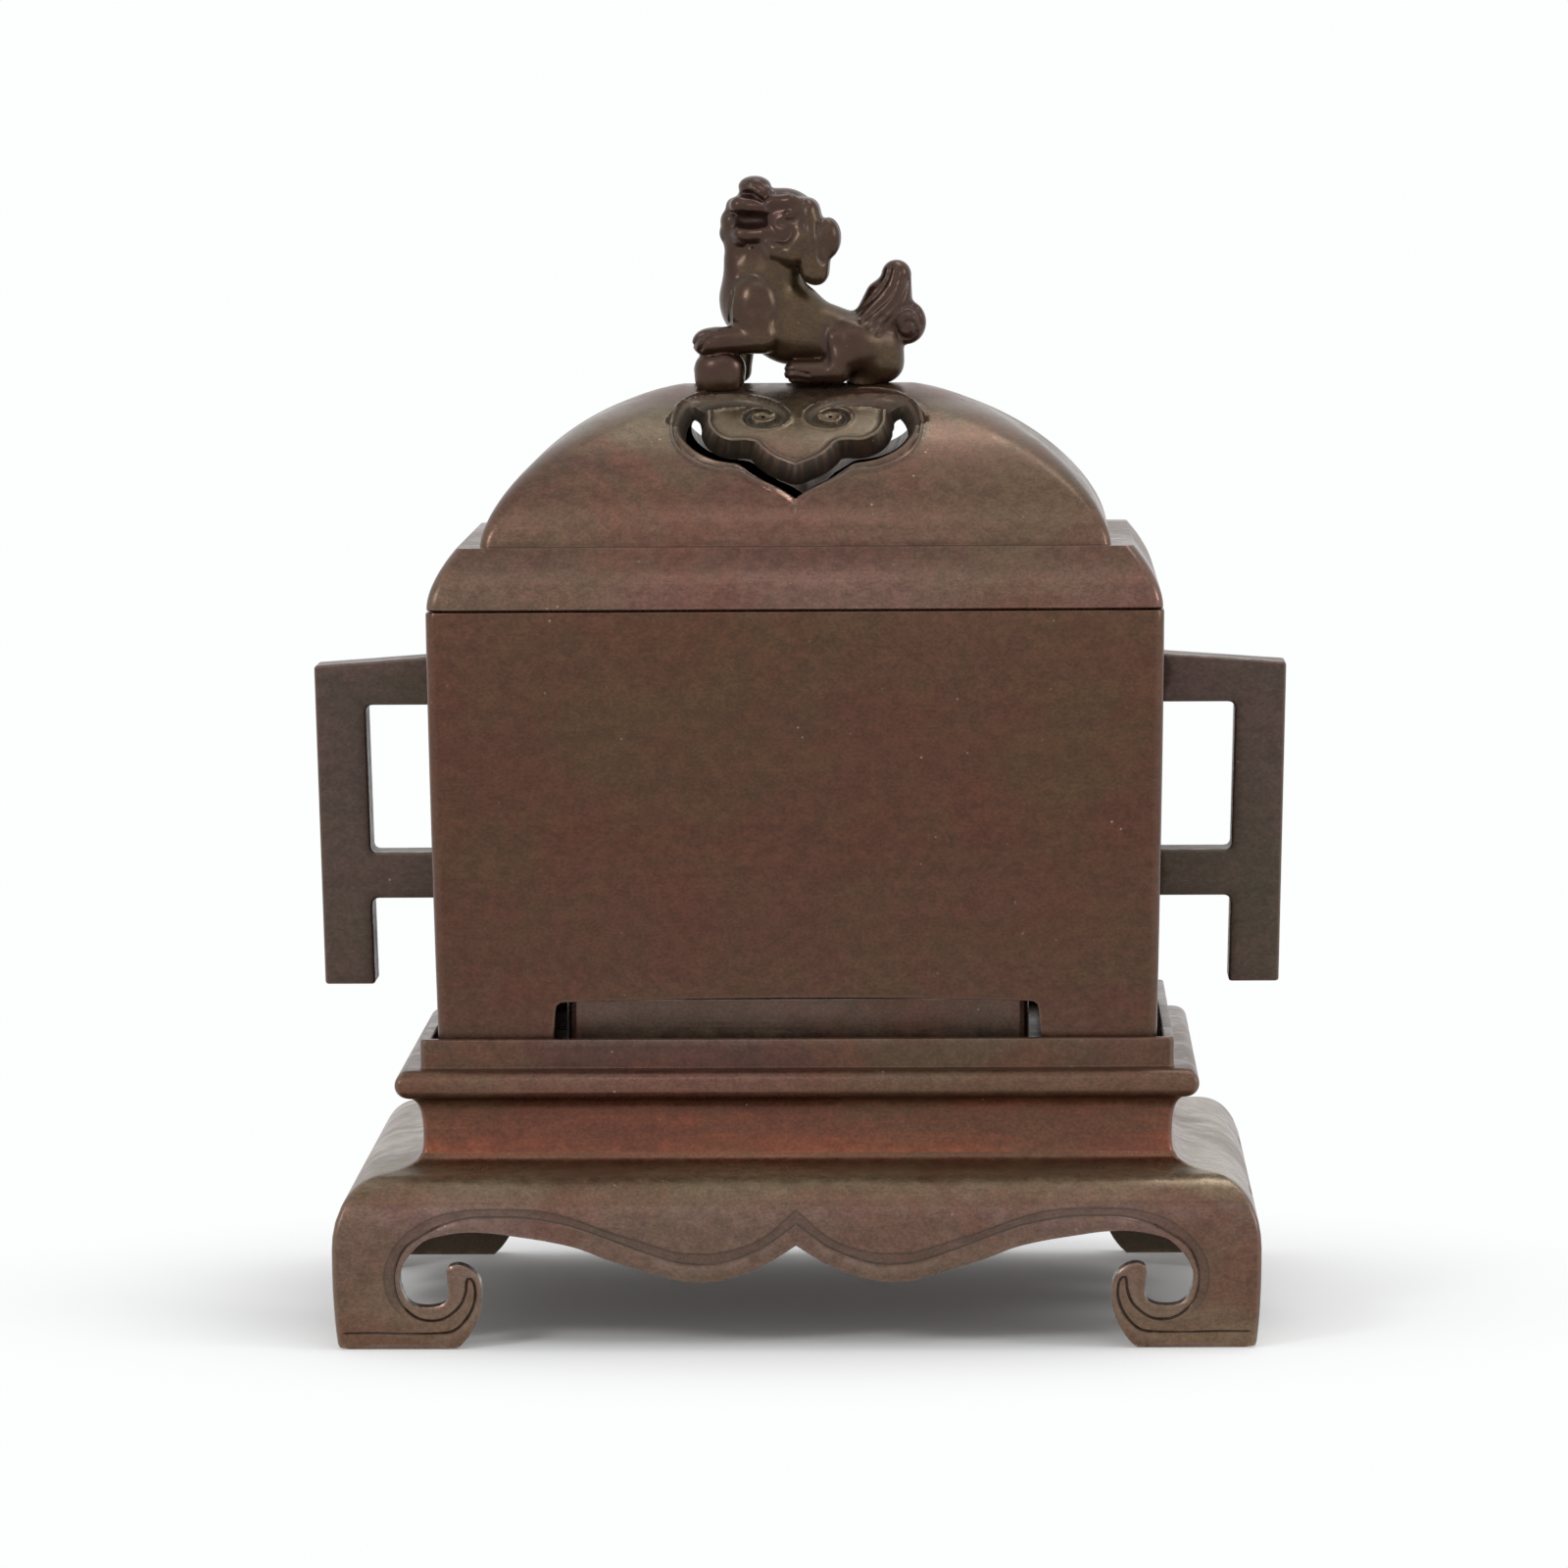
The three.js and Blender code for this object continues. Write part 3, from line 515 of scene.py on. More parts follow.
def arc_wear_and_highlight(steps: int) -> Array:
    """How much wear and painted highlight each point of a rounded corner gets: a sine from one end of it to
    the other.
    """
    return CORNER_WEAR_AND_HIGHLIGHT * np.sin(np.radians(np.linspace(0, 180, steps + 1)))


def corner_wear_and_highlight(columns: Columns, steps: int) -> Array:
    """How much wear and painted highlight each point round a level gets: only its corners get any."""
    arc = arc_wear_and_highlight(steps)[1:-1]
    part = np.concatenate([np.zeros(len(columns.wide)), arc, np.zeros(len(columns.narrow)), arc])
    return np.concatenate([part, part])


def on_side(side: Side, along: Array, out: Array, z: Array) -> Array:
    """Points on an upright face, from the place along it, how far out from the middle, and the height.

    Args:
        side: the face.
        along: the place along it, from its left end as seen from outside.
        out: how far from the middle.
        z: the height.

    Returns:
        The points.
    """
    flat = {
        Side.FRONT: (along, -out),
        Side.RIGHT: (out, along),
        Side.BACK: (-along, out),
        Side.LEFT: (-out, -along),
    }[side]
    return np.column_stack([flat[0], flat[1], z])


# Finishes.

Color = tuple[float, float, float]
Triple = tuple[float, float, float]
Socket = bpy.types.NodeSocket
Sockets = bpy.types.bpy_prop_collection


def tone(code: str) -> Color:
    """A colour written as six hexadecimal digits, in linear light."""
    parts = [int(code[k : k + 2], 16) / 255 for k in (0, 2, 4)]
    return tuple(part / 12.92 if part < 0.04045 else ((part + 0.055) / 1.055) ** 2.4 for part in parts)


class Graph:
    """A node tree that is being wired."""

    def __init__(self, tree: bpy.types.NodeTree) -> None:
        """Empties the tree."""
        self.tree = tree
        tree.nodes.clear()

    def node(self, kind: str, **settings: object) -> bpy.types.Node:
        """Adds a node and sets its properties.

        Args:
            kind: the node's type.
            settings: its properties.

        Returns:
            The node.
        """
        made = self.tree.nodes.new(kind)
        for name, value in settings.items():
            setattr(made, name, value)
        return made

    def feed(self, value: object, socket: Socket) -> None:
        """Links a socket, or sets a plain value, into an input.

        Args:
            value: a socket, number, tuple or colour.
            socket: the input.
        """
        if isinstance(value, bpy.types.NodeSocket):
            self.tree.links.new(value, socket)
        elif isinstance(value, tuple) and socket.type == "RGBA":
            socket.default_value = (*value, 1)
        else:
            socket.default_value = value

    def math(self, operation: str, first: object, second: object = 0.0, clamp: bool = False) -> Socket:
        """The result of a sum, product or other operation on two numbers.

        Args:
            operation: its name in the Math node.
            first: a socket or number.
            second: a socket or number.
            clamp: whether the result is held between 0 and 1.

        Returns:
            The result.
        """
        made = self.node("ShaderNodeMath", operation=operation, use_clamp=clamp)
        self.feed(first, made.inputs[0])
        self.feed(second, made.inputs[1])
        return made.outputs[0]

    def span(
        self, value: object, low: float, high: float, to_low: float = 0.0, to_high: float = 1.0
    ) -> Socket:
        """A value carried smoothly from one span to another and held at its ends.

        Args:
            value: a socket or number.
            low: where the first span starts.
            high: where it ends.
            to_low: what the start becomes.
            to_high: what the end becomes.

        Returns:
            The carried value.
        """
        made = self.node("ShaderNodeMapRange", interpolation_type="SMOOTHSTEP")
        for socket, item in zip(made.inputs, (value, low, high, to_low, to_high)):
            self.feed(item, socket)
        return made.outputs[0]

    def blend(self, factor: object, first: object, second: object, mode: str = "MIX") -> Socket:
        """Two colours mixed.

        Args:
            factor: how much of the second.
            first: a colour.
            second: a colour.
            mode: the blend's name in the Mix node.

        Returns:
            The mixed colour.
        """
        made = self.node("ShaderNodeMix", data_type="RGBA", blend_type=mode)
        self.feed(factor, made.inputs[0])
        self.feed(first, made.inputs[6])
        self.feed(second, made.inputs[7])
        return made.outputs[2]

    def place(self, scale: Triple = (1.0, 1.0, 1.0), shift: Triple = (0.0, 0.0, 0.0)) -> Socket:
        """Object coordinates, stretched and moved.

        Args:
            scale: the stretch along each axis.
            shift: the move along each axis.

        Returns:
            The coordinates.
        """
        mapping = self.node("ShaderNodeMapping")
        mapping.inputs["Scale"].default_value = scale
        mapping.inputs["Location"].default_value = shift
        self.feed(self.node("ShaderNodeTexCoord").outputs["Object"], mapping.inputs["Vector"])
        return mapping.outputs[0]

    def height(self) -> Socket:
        """How high each place of the object is, in metres."""
        axes = self.node("ShaderNodeSeparateXYZ")
        self.feed(self.node("ShaderNodeTexCoord").outputs["Object"], axes.inputs[0])
        return axes.outputs["Z"]

    def noise(self, at: Socket, scale: float, detail: float, roughness: float, twist: float = 0.0) -> Socket:
        """Fractal noise between 0 and 1.

        Args:
            at: the coordinates.
            scale: patches to a metre, roughly.
            detail: how many finer layers are added.
            roughness: how strong the finer layers are.
            twist: how far the coordinates are bent.

        Returns:
            The noise.
        """
        made = self.node("ShaderNodeTexNoise")
        for label, value in (("Vector", at), ("Scale", scale), ("Detail", detail), ("Roughness", roughness)):
            self.feed(value, made.inputs[label])
        made.inputs["Distortion"].default_value = twist
        return made.outputs[0]


def group(
    name: str, inputs: Sequence[tuple[str, str, object]], outputs: Sequence[tuple[str, str]]
) -> tuple[Graph, Sockets, Sockets]:
    """Starts a shader node group with named inputs and outputs.

    Args:
        name: the group's name.
        inputs: label, kind and plain value of each input.
        outputs: label and kind of each output.

    Returns:
        The graph to wire, what comes in and what goes out.
    """
    tree = bpy.data.node_groups.new(name, "ShaderNodeTree")
    for label, kind, value in inputs:
        tree.interface.new_socket(label, in_out="INPUT", socket_type=kind).default_value = value
    for label, kind in outputs:
        tree.interface.new_socket(label, in_out="OUTPUT", socket_type=kind)
    graph = Graph(tree)
    return graph, graph.node("NodeGroupInput").outputs, graph.node("NodeGroupOutput").inputs


class Effects:
    """The shader node groups that the finishes share."""

    FLOAT = "NodeSocketFloat"

    def __init__(self) -> None:
        """Builds each group once."""
        self.clouds = self.patina_clouds()
        self.grain = self.brushed_grain()
        self.edges = self.worn_and_highlit_edges()
        self.dust = self.loose_dust()

    def patina_clouds(self) -> bpy.types.NodeTree:
        """Patches of patina: large clouds broken up by small ones, and a separate finer mottling.

        Returns:
            The group's tree.
        """
        labels = [("Drift", self.FLOAT, 0.0), ("Breakup", self.FLOAT, 0.35)]
        outputs = [(label, self.FLOAT) for label in ("Clouds", "Warmth", "Mottle", "Speckle")]
        graph, entry, leave = group("patina clouds", labels, outputs)
        shift = graph.node("ShaderNodeCombineXYZ")
        for socket in shift.inputs:
            graph.feed(entry["Drift"], socket)
        moved = graph.node("ShaderNodeVectorMath", operation="ADD")
        graph.feed(graph.place((1.0, 1.0, 1.35)), moved.inputs[0])
        graph.feed(shift.outputs[0], moved.inputs[1])
        at = moved.outputs[0]
        large = graph.noise(at, 21.0, 6.0, 0.58, 0.5)
        small = graph.noise(at, 95.0, 5.0, 0.62, 0.3)
        broken = graph.math("MULTIPLY", graph.math("SUBTRACT", small, 0.5), entry["Breakup"])
        graph.feed(graph.span(graph.math("ADD", large, broken), 0.36, 0.64), leave["Clouds"])
        warm = graph.node("ShaderNodeVectorMath", operation="ADD")
        graph.feed(at, warm.inputs[0])
        warm.inputs[1].default_value = (3.1, 1.7, 0.6)
        warmth = graph.noise(warm.outputs[0], 34.0, 5.0, 0.6, 0.8)
        graph.feed(graph.span(warmth, 0.42, 0.66), leave["Warmth"])
        graph.feed(graph.noise(at, 330.0, 4.0, 0.6, 0.2), leave["Mottle"])
        graph.feed(graph.noise(at, 1250.0, 3.0, 0.7), leave["Speckle"])
        return graph.tree

    def brushed_grain(self) -> bpy.types.NodeTree:
        """Fine level lines left by the finishing cloth: noise stretched far along both level axes.

        Returns:
            The group's tree.
        """
        outputs = [(label, self.FLOAT) for label in ("Grain", "Streak", "Patches")]
        graph, entry, leave = group("brushed grain", [("Depth", self.FLOAT, 1.0)], outputs)
        fine = graph.noise(graph.place((14.0, 14.0, 1500.0)), 1.0, 3.0, 0.65)
        broad = graph.noise(graph.place((7.0, 7.0, 260.0), (0.4, 0.2, 0.0)), 1.0, 3.0, 0.6)
        graph.feed(graph.math("MULTIPLY", graph.math("SUBTRACT", fine, 0.5), entry["Depth"]), leave["Grain"])
        graph.feed(graph.span(broad, 0.35, 0.65), leave["Streak"])
        worn = graph.noise(graph.place((19.0, 19.0, 190.0), (0.7, 0.3, 0.2)), 1.0, 6.0, 0.66, 0.4)
        graph.feed(graph.span(worn, 0.42, 0.62), leave["Patches"])
        return graph.tree

    def worn_and_highlit_edges(self) -> bpy.types.NodeTree:
        """Where edges get the edge tone, wear with a painted highlight: the normal of a rounded edge against
        the true one, broken up by noise.

        Returns:
            The group's tree.
        """
        labels = [("Rubbed", self.FLOAT, 0.0), ("Amount", self.FLOAT, 1.0)]
        graph, entry, leave = group("rubbed edges", labels, [("Edge", self.FLOAT)])
        bevel = graph.node("ShaderNodeBevel", samples=4)
        bevel.inputs["Radius"].default_value = 0.0006
        facing = graph.node("ShaderNodeVectorMath", operation="DOT_PRODUCT")
        graph.feed(bevel.outputs[0], facing.inputs[0])
        graph.feed(graph.node("ShaderNodeNewGeometry").outputs["Normal"], facing.inputs[1])
        bent = graph.span(graph.math("SUBTRACT", 1.0, facing.outputs["Value"]), 0.03, 0.22)
        coarse = graph.noise(graph.place(shift=(0.9, 0.1, 0.3)), 120.0, 4.0, 0.6)
        broken = graph.span(coarse, 0.34, 0.62)
        both = graph.math("MAXIMUM", graph.math("MULTIPLY", bent, broken), entry["Rubbed"])
        graph.feed(graph.math("MULTIPLY", both, entry["Amount"], clamp=True), leave["Edge"])
        return graph.tree

    def loose_dust(self) -> bpy.types.NodeTree:
        """A few light specks: the middles of the cells of a fine pattern, where a coarse noise lets them.

        Returns:
            The group's tree.
        """
        labels = [("Amount", self.FLOAT, 1.0)]
        graph, entry, leave = group("loose dust", labels, [("Specks", self.FLOAT)])
        cells = graph.node("ShaderNodeTexVoronoi")
        graph.feed(graph.place(), cells.inputs["Vector"])
        cells.inputs["Scale"].default_value = 420.0
        near = graph.span(cells.outputs["Distance"], 0.16, 0.06)
        coarse = graph.noise(graph.place(shift=(0.2, 0.7, 0.5)), 160.0, 2.0, 0.5)
        specks = graph.math("MULTIPLY", near, graph.span(coarse, 0.62, 0.7))
        graph.feed(graph.math("MULTIPLY", specks, entry["Amount"]), leave["Specks"])
        return graph.tree


@dataclass(frozen=True)
class Bronze:
    """A patinated metal whose ground colour changes with height.

    The zones are pairs of a height in millimetres and a colour, from the lowest up. Besides the metal's
    own tone they carry painted sheen, painted reflection and painted shade by height. The edge tone is
    wear and a painted highlight, and the hollow tone is painted shade and patina.
    """

    name: str
    slot: str
    zones: tuple[tuple[float, str], ...]
    cloud: str
    warm: str
    edge: str
    hollow_shade_and_patina: str = "1d1712"
    cloud_share: float = 0.7
    warm_share: float = 0.5
    edge_share: float = 0.55
    metallic: float = 0.72
    roughness: float = 0.33
    wax: float = 0.12
    grain: float = 0.5
    cast: float = 0.25
    dust: float = 0.4
    drift: float = 0.0
    worn: str = "84452c"
    worn_from: float = 0.0
    worn_to: float = 0.0
    worn_edge: float = 0.3
    speck: str = "b9b2a6"
    wax_roughness: float = 0.26
    bump_strength: float = 0.35
    bump_height: float = 0.3
    sunk_matt: float = 0.7
    sunk_rough: float = 0.25
    rubbed_smooth: float = 0.1

    def ground(self, graph: Graph) -> Socket:
        """The colour of each height, from a ramp along the object's Z: the metal's tone with painted sheen,
        reflection and shade in bands.

        Args:
            graph: the material's graph.

        Returns:
            The colour.
        """
        low, high = self.zones[0][0], self.zones[-1][0]
        share = graph.node("ShaderNodeMapRange")
        for socket, item in zip(share.inputs, (graph.height(), low * MM, high * MM, 0.0, 1.0)):
            graph.feed(item, socket)
        ramp = graph.node("ShaderNodeValToRGB")
        stops = ramp.color_ramp.elements
        while len(stops) < len(self.zones):
            stops.new(0.5)
        for stop, (height, code) in zip(stops, self.zones):
            stop.position = (height - low) / (high - low)
            stop.color = (*tone(code), 1)
        graph.feed(share.outputs[0], ramp.inputs[0])
        return ramp.outputs[0]

    def worn_zone(self, graph: Graph) -> Socket:
        """One between the two worn heights, fading away from the lower one, and nothing elsewhere.

        Args:
            graph: the material's graph.

        Returns:
            The mask.
        """
        height = graph.height()
        low, high, edge = self.worn_from * MM, self.worn_to * MM, self.worn_edge * MM
        fading = graph.span(height, low, high, 1.0, 0.35)
        above, below = graph.span(height, low - edge, low), graph.span(height, high + edge, high)
        return graph.math("MULTIPLY", fading, graph.math("MULTIPLY", above, below))

    def material(self, effects: Effects) -> bpy.types.Material:
        """Builds the material.

        Args:
            effects: the shared node groups.

        Returns:
            A material with a Principled shader of its own.
        """
        made = bpy.data.materials.new(self.name)
        made.use_nodes = True
        graph = Graph(made.node_tree)
        clouds = graph.node("ShaderNodeGroup", node_tree=effects.clouds)
        clouds.inputs["Drift"].default_value = self.drift
        grain = graph.node("ShaderNodeGroup", node_tree=effects.grain)
        grain.inputs["Depth"].default_value = self.grain
        edges = graph.node("ShaderNodeGroup", node_tree=effects.edges)
        edges.inputs["Amount"].default_value = self.edge_share
        dust = graph.node("ShaderNodeGroup", node_tree=effects.dust)
        dust.inputs["Amount"].default_value = self.dust
        shade_and_patina = graph.node("ShaderNodeAttribute", attribute_name="shade_and_patina").outputs["Fac"]
        wear_and_highlight = graph.node("ShaderNodeAttribute", attribute_name="wear_and_highlight").outputs["Fac"]
        graph.feed(wear_and_highlight, edges.inputs["Rubbed"])
        cloudy = graph.math("MULTIPLY", clouds.outputs["Clouds"], self.cloud_share)
        color = graph.blend(cloudy, self.ground(graph), tone(self.cloud))
        warmth = graph.math("MULTIPLY", clouds.outputs["Warmth"], self.warm_share)
        color = graph.blend(warmth, color, tone(self.warm))
        if self.worn_to > self.worn_from:
            worn = graph.math("MULTIPLY", grain.outputs["Patches"], self.worn_zone(graph))
            color = graph.blend(worn, color, tone(self.worn))
        shade = graph.span(clouds.outputs["Mottle"], 0.3, 0.7, 0.86, 1.14)
        shade = graph.math("MULTIPLY", shade, graph.span(clouds.outputs["Speckle"], 0.3, 0.7, 0.8, 1.2))
        shade = graph.math("MULTIPLY", shade, graph.span(grain.outputs["Streak"], 0.0, 1.0, 0.97, 1.03))
        tint = graph.node("ShaderNodeCombineColor")
        for socket in tint.inputs:
            graph.feed(shade, socket)
        color = graph.blend(1.0, color, tint.outputs[0], "MULTIPLY")
        # Painted shade and patina in the hollows: the hollow tone where the points are sunk.
        color = graph.blend(shade_and_patina, color, tone(self.hollow_shade_and_patina))
        # Wear and a painted highlight on rounded edges: the edge tone.
        color = graph.blend(edges.outputs["Edge"], color, tone(self.edge))
        color = graph.blend(dust.outputs["Specks"], color, tone(self.speck))
        by_cloud = graph.span(clouds.outputs["Clouds"], 0.0, 1.0, -0.05, 0.07)
        rough = graph.math("ADD", self.roughness, by_cloud)
        rough = graph.math("ADD", rough, graph.span(clouds.outputs["Mottle"], 0.3, 0.7, -0.05, 0.05))
        smooth = graph.math("MULTIPLY", edges.outputs["Edge"], self.rubbed_smooth)
        rough = graph.math("SUBTRACT", rough, smooth)
        rough = graph.math("ADD", rough, graph.math("MULTIPLY", shade_and_patina, self.sunk_rough), clamp=True)
        height = graph.math("MULTIPLY", grain.outputs["Grain"], 0.5)
        height = graph.math("ADD", height, graph.math("MULTIPLY", clouds.outputs["Mottle"], self.cast))
        bump = graph.node("ShaderNodeBump")
        bump.inputs["Strength"].default_value = self.bump_strength
        bump.inputs["Distance"].default_value = self.bump_height * MM
        graph.feed(height, bump.inputs["Height"])
        shader = graph.node("ShaderNodeBsdfPrincipled")
        matt = graph.math("SUBTRACT", 1.0, graph.math("MULTIPLY", shade_and_patina, self.sunk_matt))
        graph.feed(graph.math("MULTIPLY", matt, self.metallic, clamp=True), shader.inputs["Metallic"])
        shader.inputs["Coat Weight"].default_value = self.wax
        shader.inputs["Coat Roughness"].default_value = self.wax_roughness
        graph.feed(color, shader.inputs["Base Color"])
        graph.feed(rough, shader.inputs["Roughness"])
        graph.feed(bump.outputs[0], shader.inputs["Normal"])
        graph.feed(shader.outputs[0], graph.node("ShaderNodeOutputMaterial").inputs["Surface"])
        return made


class Finish(Enum):
    """The finishes of this object."""

    STAND = Bronze(
        "stand bronze",
        "stand_bronze",
        # Painted light by height: darker up the cove towards the torus, painted shade at the torus's foot
        # (52), a painted floor reflection on its lower half (54) and a painted sheen on the shoulder's top
        # (36.6 to 37.5).
        ((0, "6c5843"), (14, "695145"), (26, "6c524a"), (30.2, "745a53"), (31.2, "62493d"),
         (34, "776350"), (36.6, "8a7b63"), (37.5, "7a6248"), (38, "6b4534"), (39.8, "643d29"),
         (40.3, "754130"), (45, "683c2d"), (49.5, "5a3426"), (52, "4c2d21"), (54, "6a483b"),
         (56.2, "66483d"), (58, "5b3e34"), (58.7, "492f27"), (62.8, "4d352d"), (64.3, "5f4a41")),
        cloud="594a34",
        warm="623a2c",
        edge="95857c",
        hollow_shade_and_patina="2a2010",
        cloud_share=0.5,
        drift=0.13,
        worn="7f452f",
        worn_from=40.2,
        worn_to=52.0,
    )
    BOX = Bronze(
        "box bronze",
        "vessel_bronze",
        ((59, "52382d"), (80, "523327"), (110, "523224"), (140, "533527"), (156, "573a2b")),
        cloud="4e3b27",
        warm="5a2f23",
        edge="7a6157",
        warm_share=0.36,
        drift=0.41,
    )
    LID = Bronze(
        "lid bronze",
        "lid_bronze",
        # Painted light by height: a painted sheen across the dome at 192 to 197.
        ((156, "6f5248"), (161, "6b4f45"), (166, "5c4137"), (169, "573c32"), (171, "6d5043"),
         (180, "593d32"), (188, "543b2f"), (192, "62523f"), (197, "655843"), (200, "5a493b"),
         (203, "574239")),
        cloud="594b37",
        warm="693e33",
        edge="8f7d72",
        cloud_share=0.6,
        drift=0.77,
    )
    LION = Bronze(
        "lion bronze",
        "lion_bronze",
        ((202, "4d3b28"), (222, "4f3e28"), (248, "463327")),
        cloud="463926",
        warm="4c3128",
        edge="3c241d",
        wax=0.2,
        hollow_shade_and_patina="1a120d",
        edge_share=0.9,
        roughness=0.36,
        grain=0.15,
        drift=1.2,
    )
    HANDLE = Bronze(
        "handle bronze",
        "handle_bronze",
        ((71, "4f3e36"), (143, "4d3d37")),
        cloud="4a4335",
        warm="56403a",
        edge="8a7b70",
        roughness=0.44,
        drift=1.9,
    )
    COPPER = Bronze(
        "liner copper",
        "liner_copper",
        ((100, "7a5238"), (148, "8a5e42")),
        cloud="5f4534",
        warm="9a6447",
        edge="c09070",
        metallic=0.9,
        drift=2.3,
    )
    BRASS = Bronze(
        "fastener brass",
        "fastener_brass",
        ((0, "96783f"), (250, "96783f")),
        cloud="6f5b34",
        warm="a1803f",
        edge="cdb377",
        metallic=0.92,
        roughness=0.3,
        grain=0.2,
        drift=2.9,
    )


@dataclass
class Dresser:
    """Gives pieces their finishes."""

    effects: Effects = field(default_factory=Effects)
    made: dict[Finish, bpy.types.Material] = field(default_factory=dict)

    def material(self, finish: Finish) -> bpy.types.Material:
        """The material of a finish, built when it is first wanted."""
        if finish not in self.made:
            self.made[finish] = finish.value.material(self.effects)
        return self.made[finish]

    def dress(self, piece: bpy.types.Object, finish: Finish) -> None:
        """Puts a finish on every slot of a piece, or on a new slot where it has none.

        Args:
            piece: the object.
            finish: its finish.
        """
        if not piece.material_slots:
            piece.data.materials.append(None)
        for slot in piece.material_slots:
            slot.material = self.material(finish)

    def settle(self, piece: bpy.types.Object, finish: Finish, body: str, *nodes: str) -> None:
        """Dresses a new piece, makes it ride on its body and lets it stand for the given solids.

        Args:
            piece: the object.
            finish: its finish.
            body: the body that it rides on.
            nodes: the solids that it stands for.
        """
        self.dress(piece, finish)
        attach(piece, body)
        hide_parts(*nodes)


# Surroundings.


@dataclass
class Surroundings:
    """Floor, lamps and camera. Sizes here are metres."""

    floor_size: float = 12.0
    floor_tone: str = "fdfefe"
    plain_level: float = 0.72
    footprint: tuple[float, float] = (0.105, 0.08)
    aim: float = 0.11
    lens: float = 198
    sensor: float = 36
    eye: Triple = (0.04125, -1.89126, 0.28262)
    turns: Triple = (1.3617, 5.0846, -0.353)

    def white_to_eye(
        self, graph: Graph, lit: Socket, color: Color, share: Socket | float, gloss_share: Socket | float
    ) -> Socket:
        """Mixes a plain white into a shader for what the camera, gloss and glass see.

        Args:
            graph: the material's graph.
            lit: the shader to mix into.
            color: the white.
            share: how much of it the camera sees.
            gloss_share: how much of it gloss and glass see.

        Returns:
            The mixed shader.
        """
        paths = graph.node("ShaderNodeLightPath").outputs
        gloss = graph.math("MAXIMUM", paths["Is Glossy Ray"], paths["Is Transmission Ray"])
        gloss = graph.math("MULTIPLY", gloss, gloss_share)
        seen = graph.math("MAXIMUM", graph.math("MULTIPLY", paths["Is Camera Ray"], share), gloss)
        plain = graph.node("ShaderNodeEmission")
        graph.feed(color, plain.inputs["Color"])
        mixed = graph.node("ShaderNodeMixShader")
        graph.feed(seen, mixed.inputs[0])
        graph.feed(lit, mixed.inputs[1])
        graph.feed(plain.outputs[0], mixed.inputs[2])
        return mixed.outputs[0]

    def floor(self) -> None:
        """A pale floor that keeps the object's shadow."""
        half = self.floor_size / 2
        mesh = bpy.data.meshes.new("floor")
        corners = [(-half, -half, 0.0), (half, -half, 0.0), (half, half, 0.0), (-half, half, 0.0)]
        mesh.from_pydata(corners, [], [(0, 1, 2, 3)])
        plane = bpy.data.objects.new("floor", mesh)
        bpy.context.scene.collection.objects.link(plane)
        material = bpy.data.materials.new("pale floor")
        material.use_nodes = True
        graph = Graph(material.node_tree)
        matt = graph.node("ShaderNodeBsdfDiffuse")
        graph.feed(tone(self.floor_tone), matt.inputs["Color"])
        middle = graph.node("ShaderNodeVectorMath", operation="LENGTH")
        wide, deep = self.footprint
        graph.feed(graph.place((1 / wide, 1 / deep, 1.0)), middle.inputs[0])
        share = graph.span(middle.outputs["Value"], 0.8, 2.1, 0.03, 1.0)
        gloss_share = graph.span(middle.outputs["Value"], 0.9, 1.4, 0.25, 1.0)
        shader = self.white_to_eye(graph, matt.outputs[0], tone(self.floor_tone), share, gloss_share)
        graph.feed(shader, graph.node("ShaderNodeOutputMaterial").inputs["Surface"])
        mesh.materials.append(material)

    def air(self) -> None:
        """The world: white to the camera, to metal and to glass, and a plain level of light for the rest."""
        world = bpy.data.worlds.new("studio")
        bpy.context.scene.world = world
        world.use_nodes = True
        graph = Graph(world.node_tree)
        paths = graph.node("ShaderNodeLightPath").outputs
        seen = graph.math("MAXIMUM", paths["Is Camera Ray"], paths["Is Glossy Ray"])
        seen = graph.math("MAXIMUM", seen, paths["Is Transmission Ray"])
        back = graph.node("ShaderNodeBackground")
        graph.feed(tone(self.floor_tone), back.inputs["Color"])
        more = graph.math("MULTIPLY", seen, 1 - self.plain_level)
        graph.feed(graph.math("ADD", self.plain_level, more), back.inputs["Strength"])
        graph.feed(back.outputs[0], graph.node("ShaderNodeOutputWorld").inputs["Surface"])

    def lamp(self, name: str, at: Sequence[float], size: tuple[float, float], power: float) -> None:
        """A soft box that looks at the middle of the object.

        Args:
            name: the lamp's name.
            at: its place.
            size: its width and height.
            power: in watts.
        """
        data = bpy.data.lights.new(name, "AREA")
        data.shape = "RECTANGLE"
        data.size, data.size_y = size
        data.energy = power
        lamp = bpy.data.objects.new(name, data)
        lamp.location = at
        away = Vector(at) - Vector((0, 0, self.aim))
        lamp.rotation_euler = away.to_track_quat("Z", "Y").to_euler()
        bpy.context.scene.collection.objects.link(lamp)

    def lamps(self) -> None:
        """A lamp overhead for the sheen on the slopes, two at the sides, and a high strip in front."""
        self.lamp("overhead strip", (0.3, 0.24, 1.65), (0.9, 0.26), 4)
        self.lamp("left front", (-0.9, -1.2, 1.0), (0.34, 0.34), 5)
        self.lamp("right", (1.4, -0.6, 0.8), (0.4, 0.5), 4)
        self.lamp("high front strip", (0.1, -0.96, 1.38), (0.9, 0.08), 0.8)

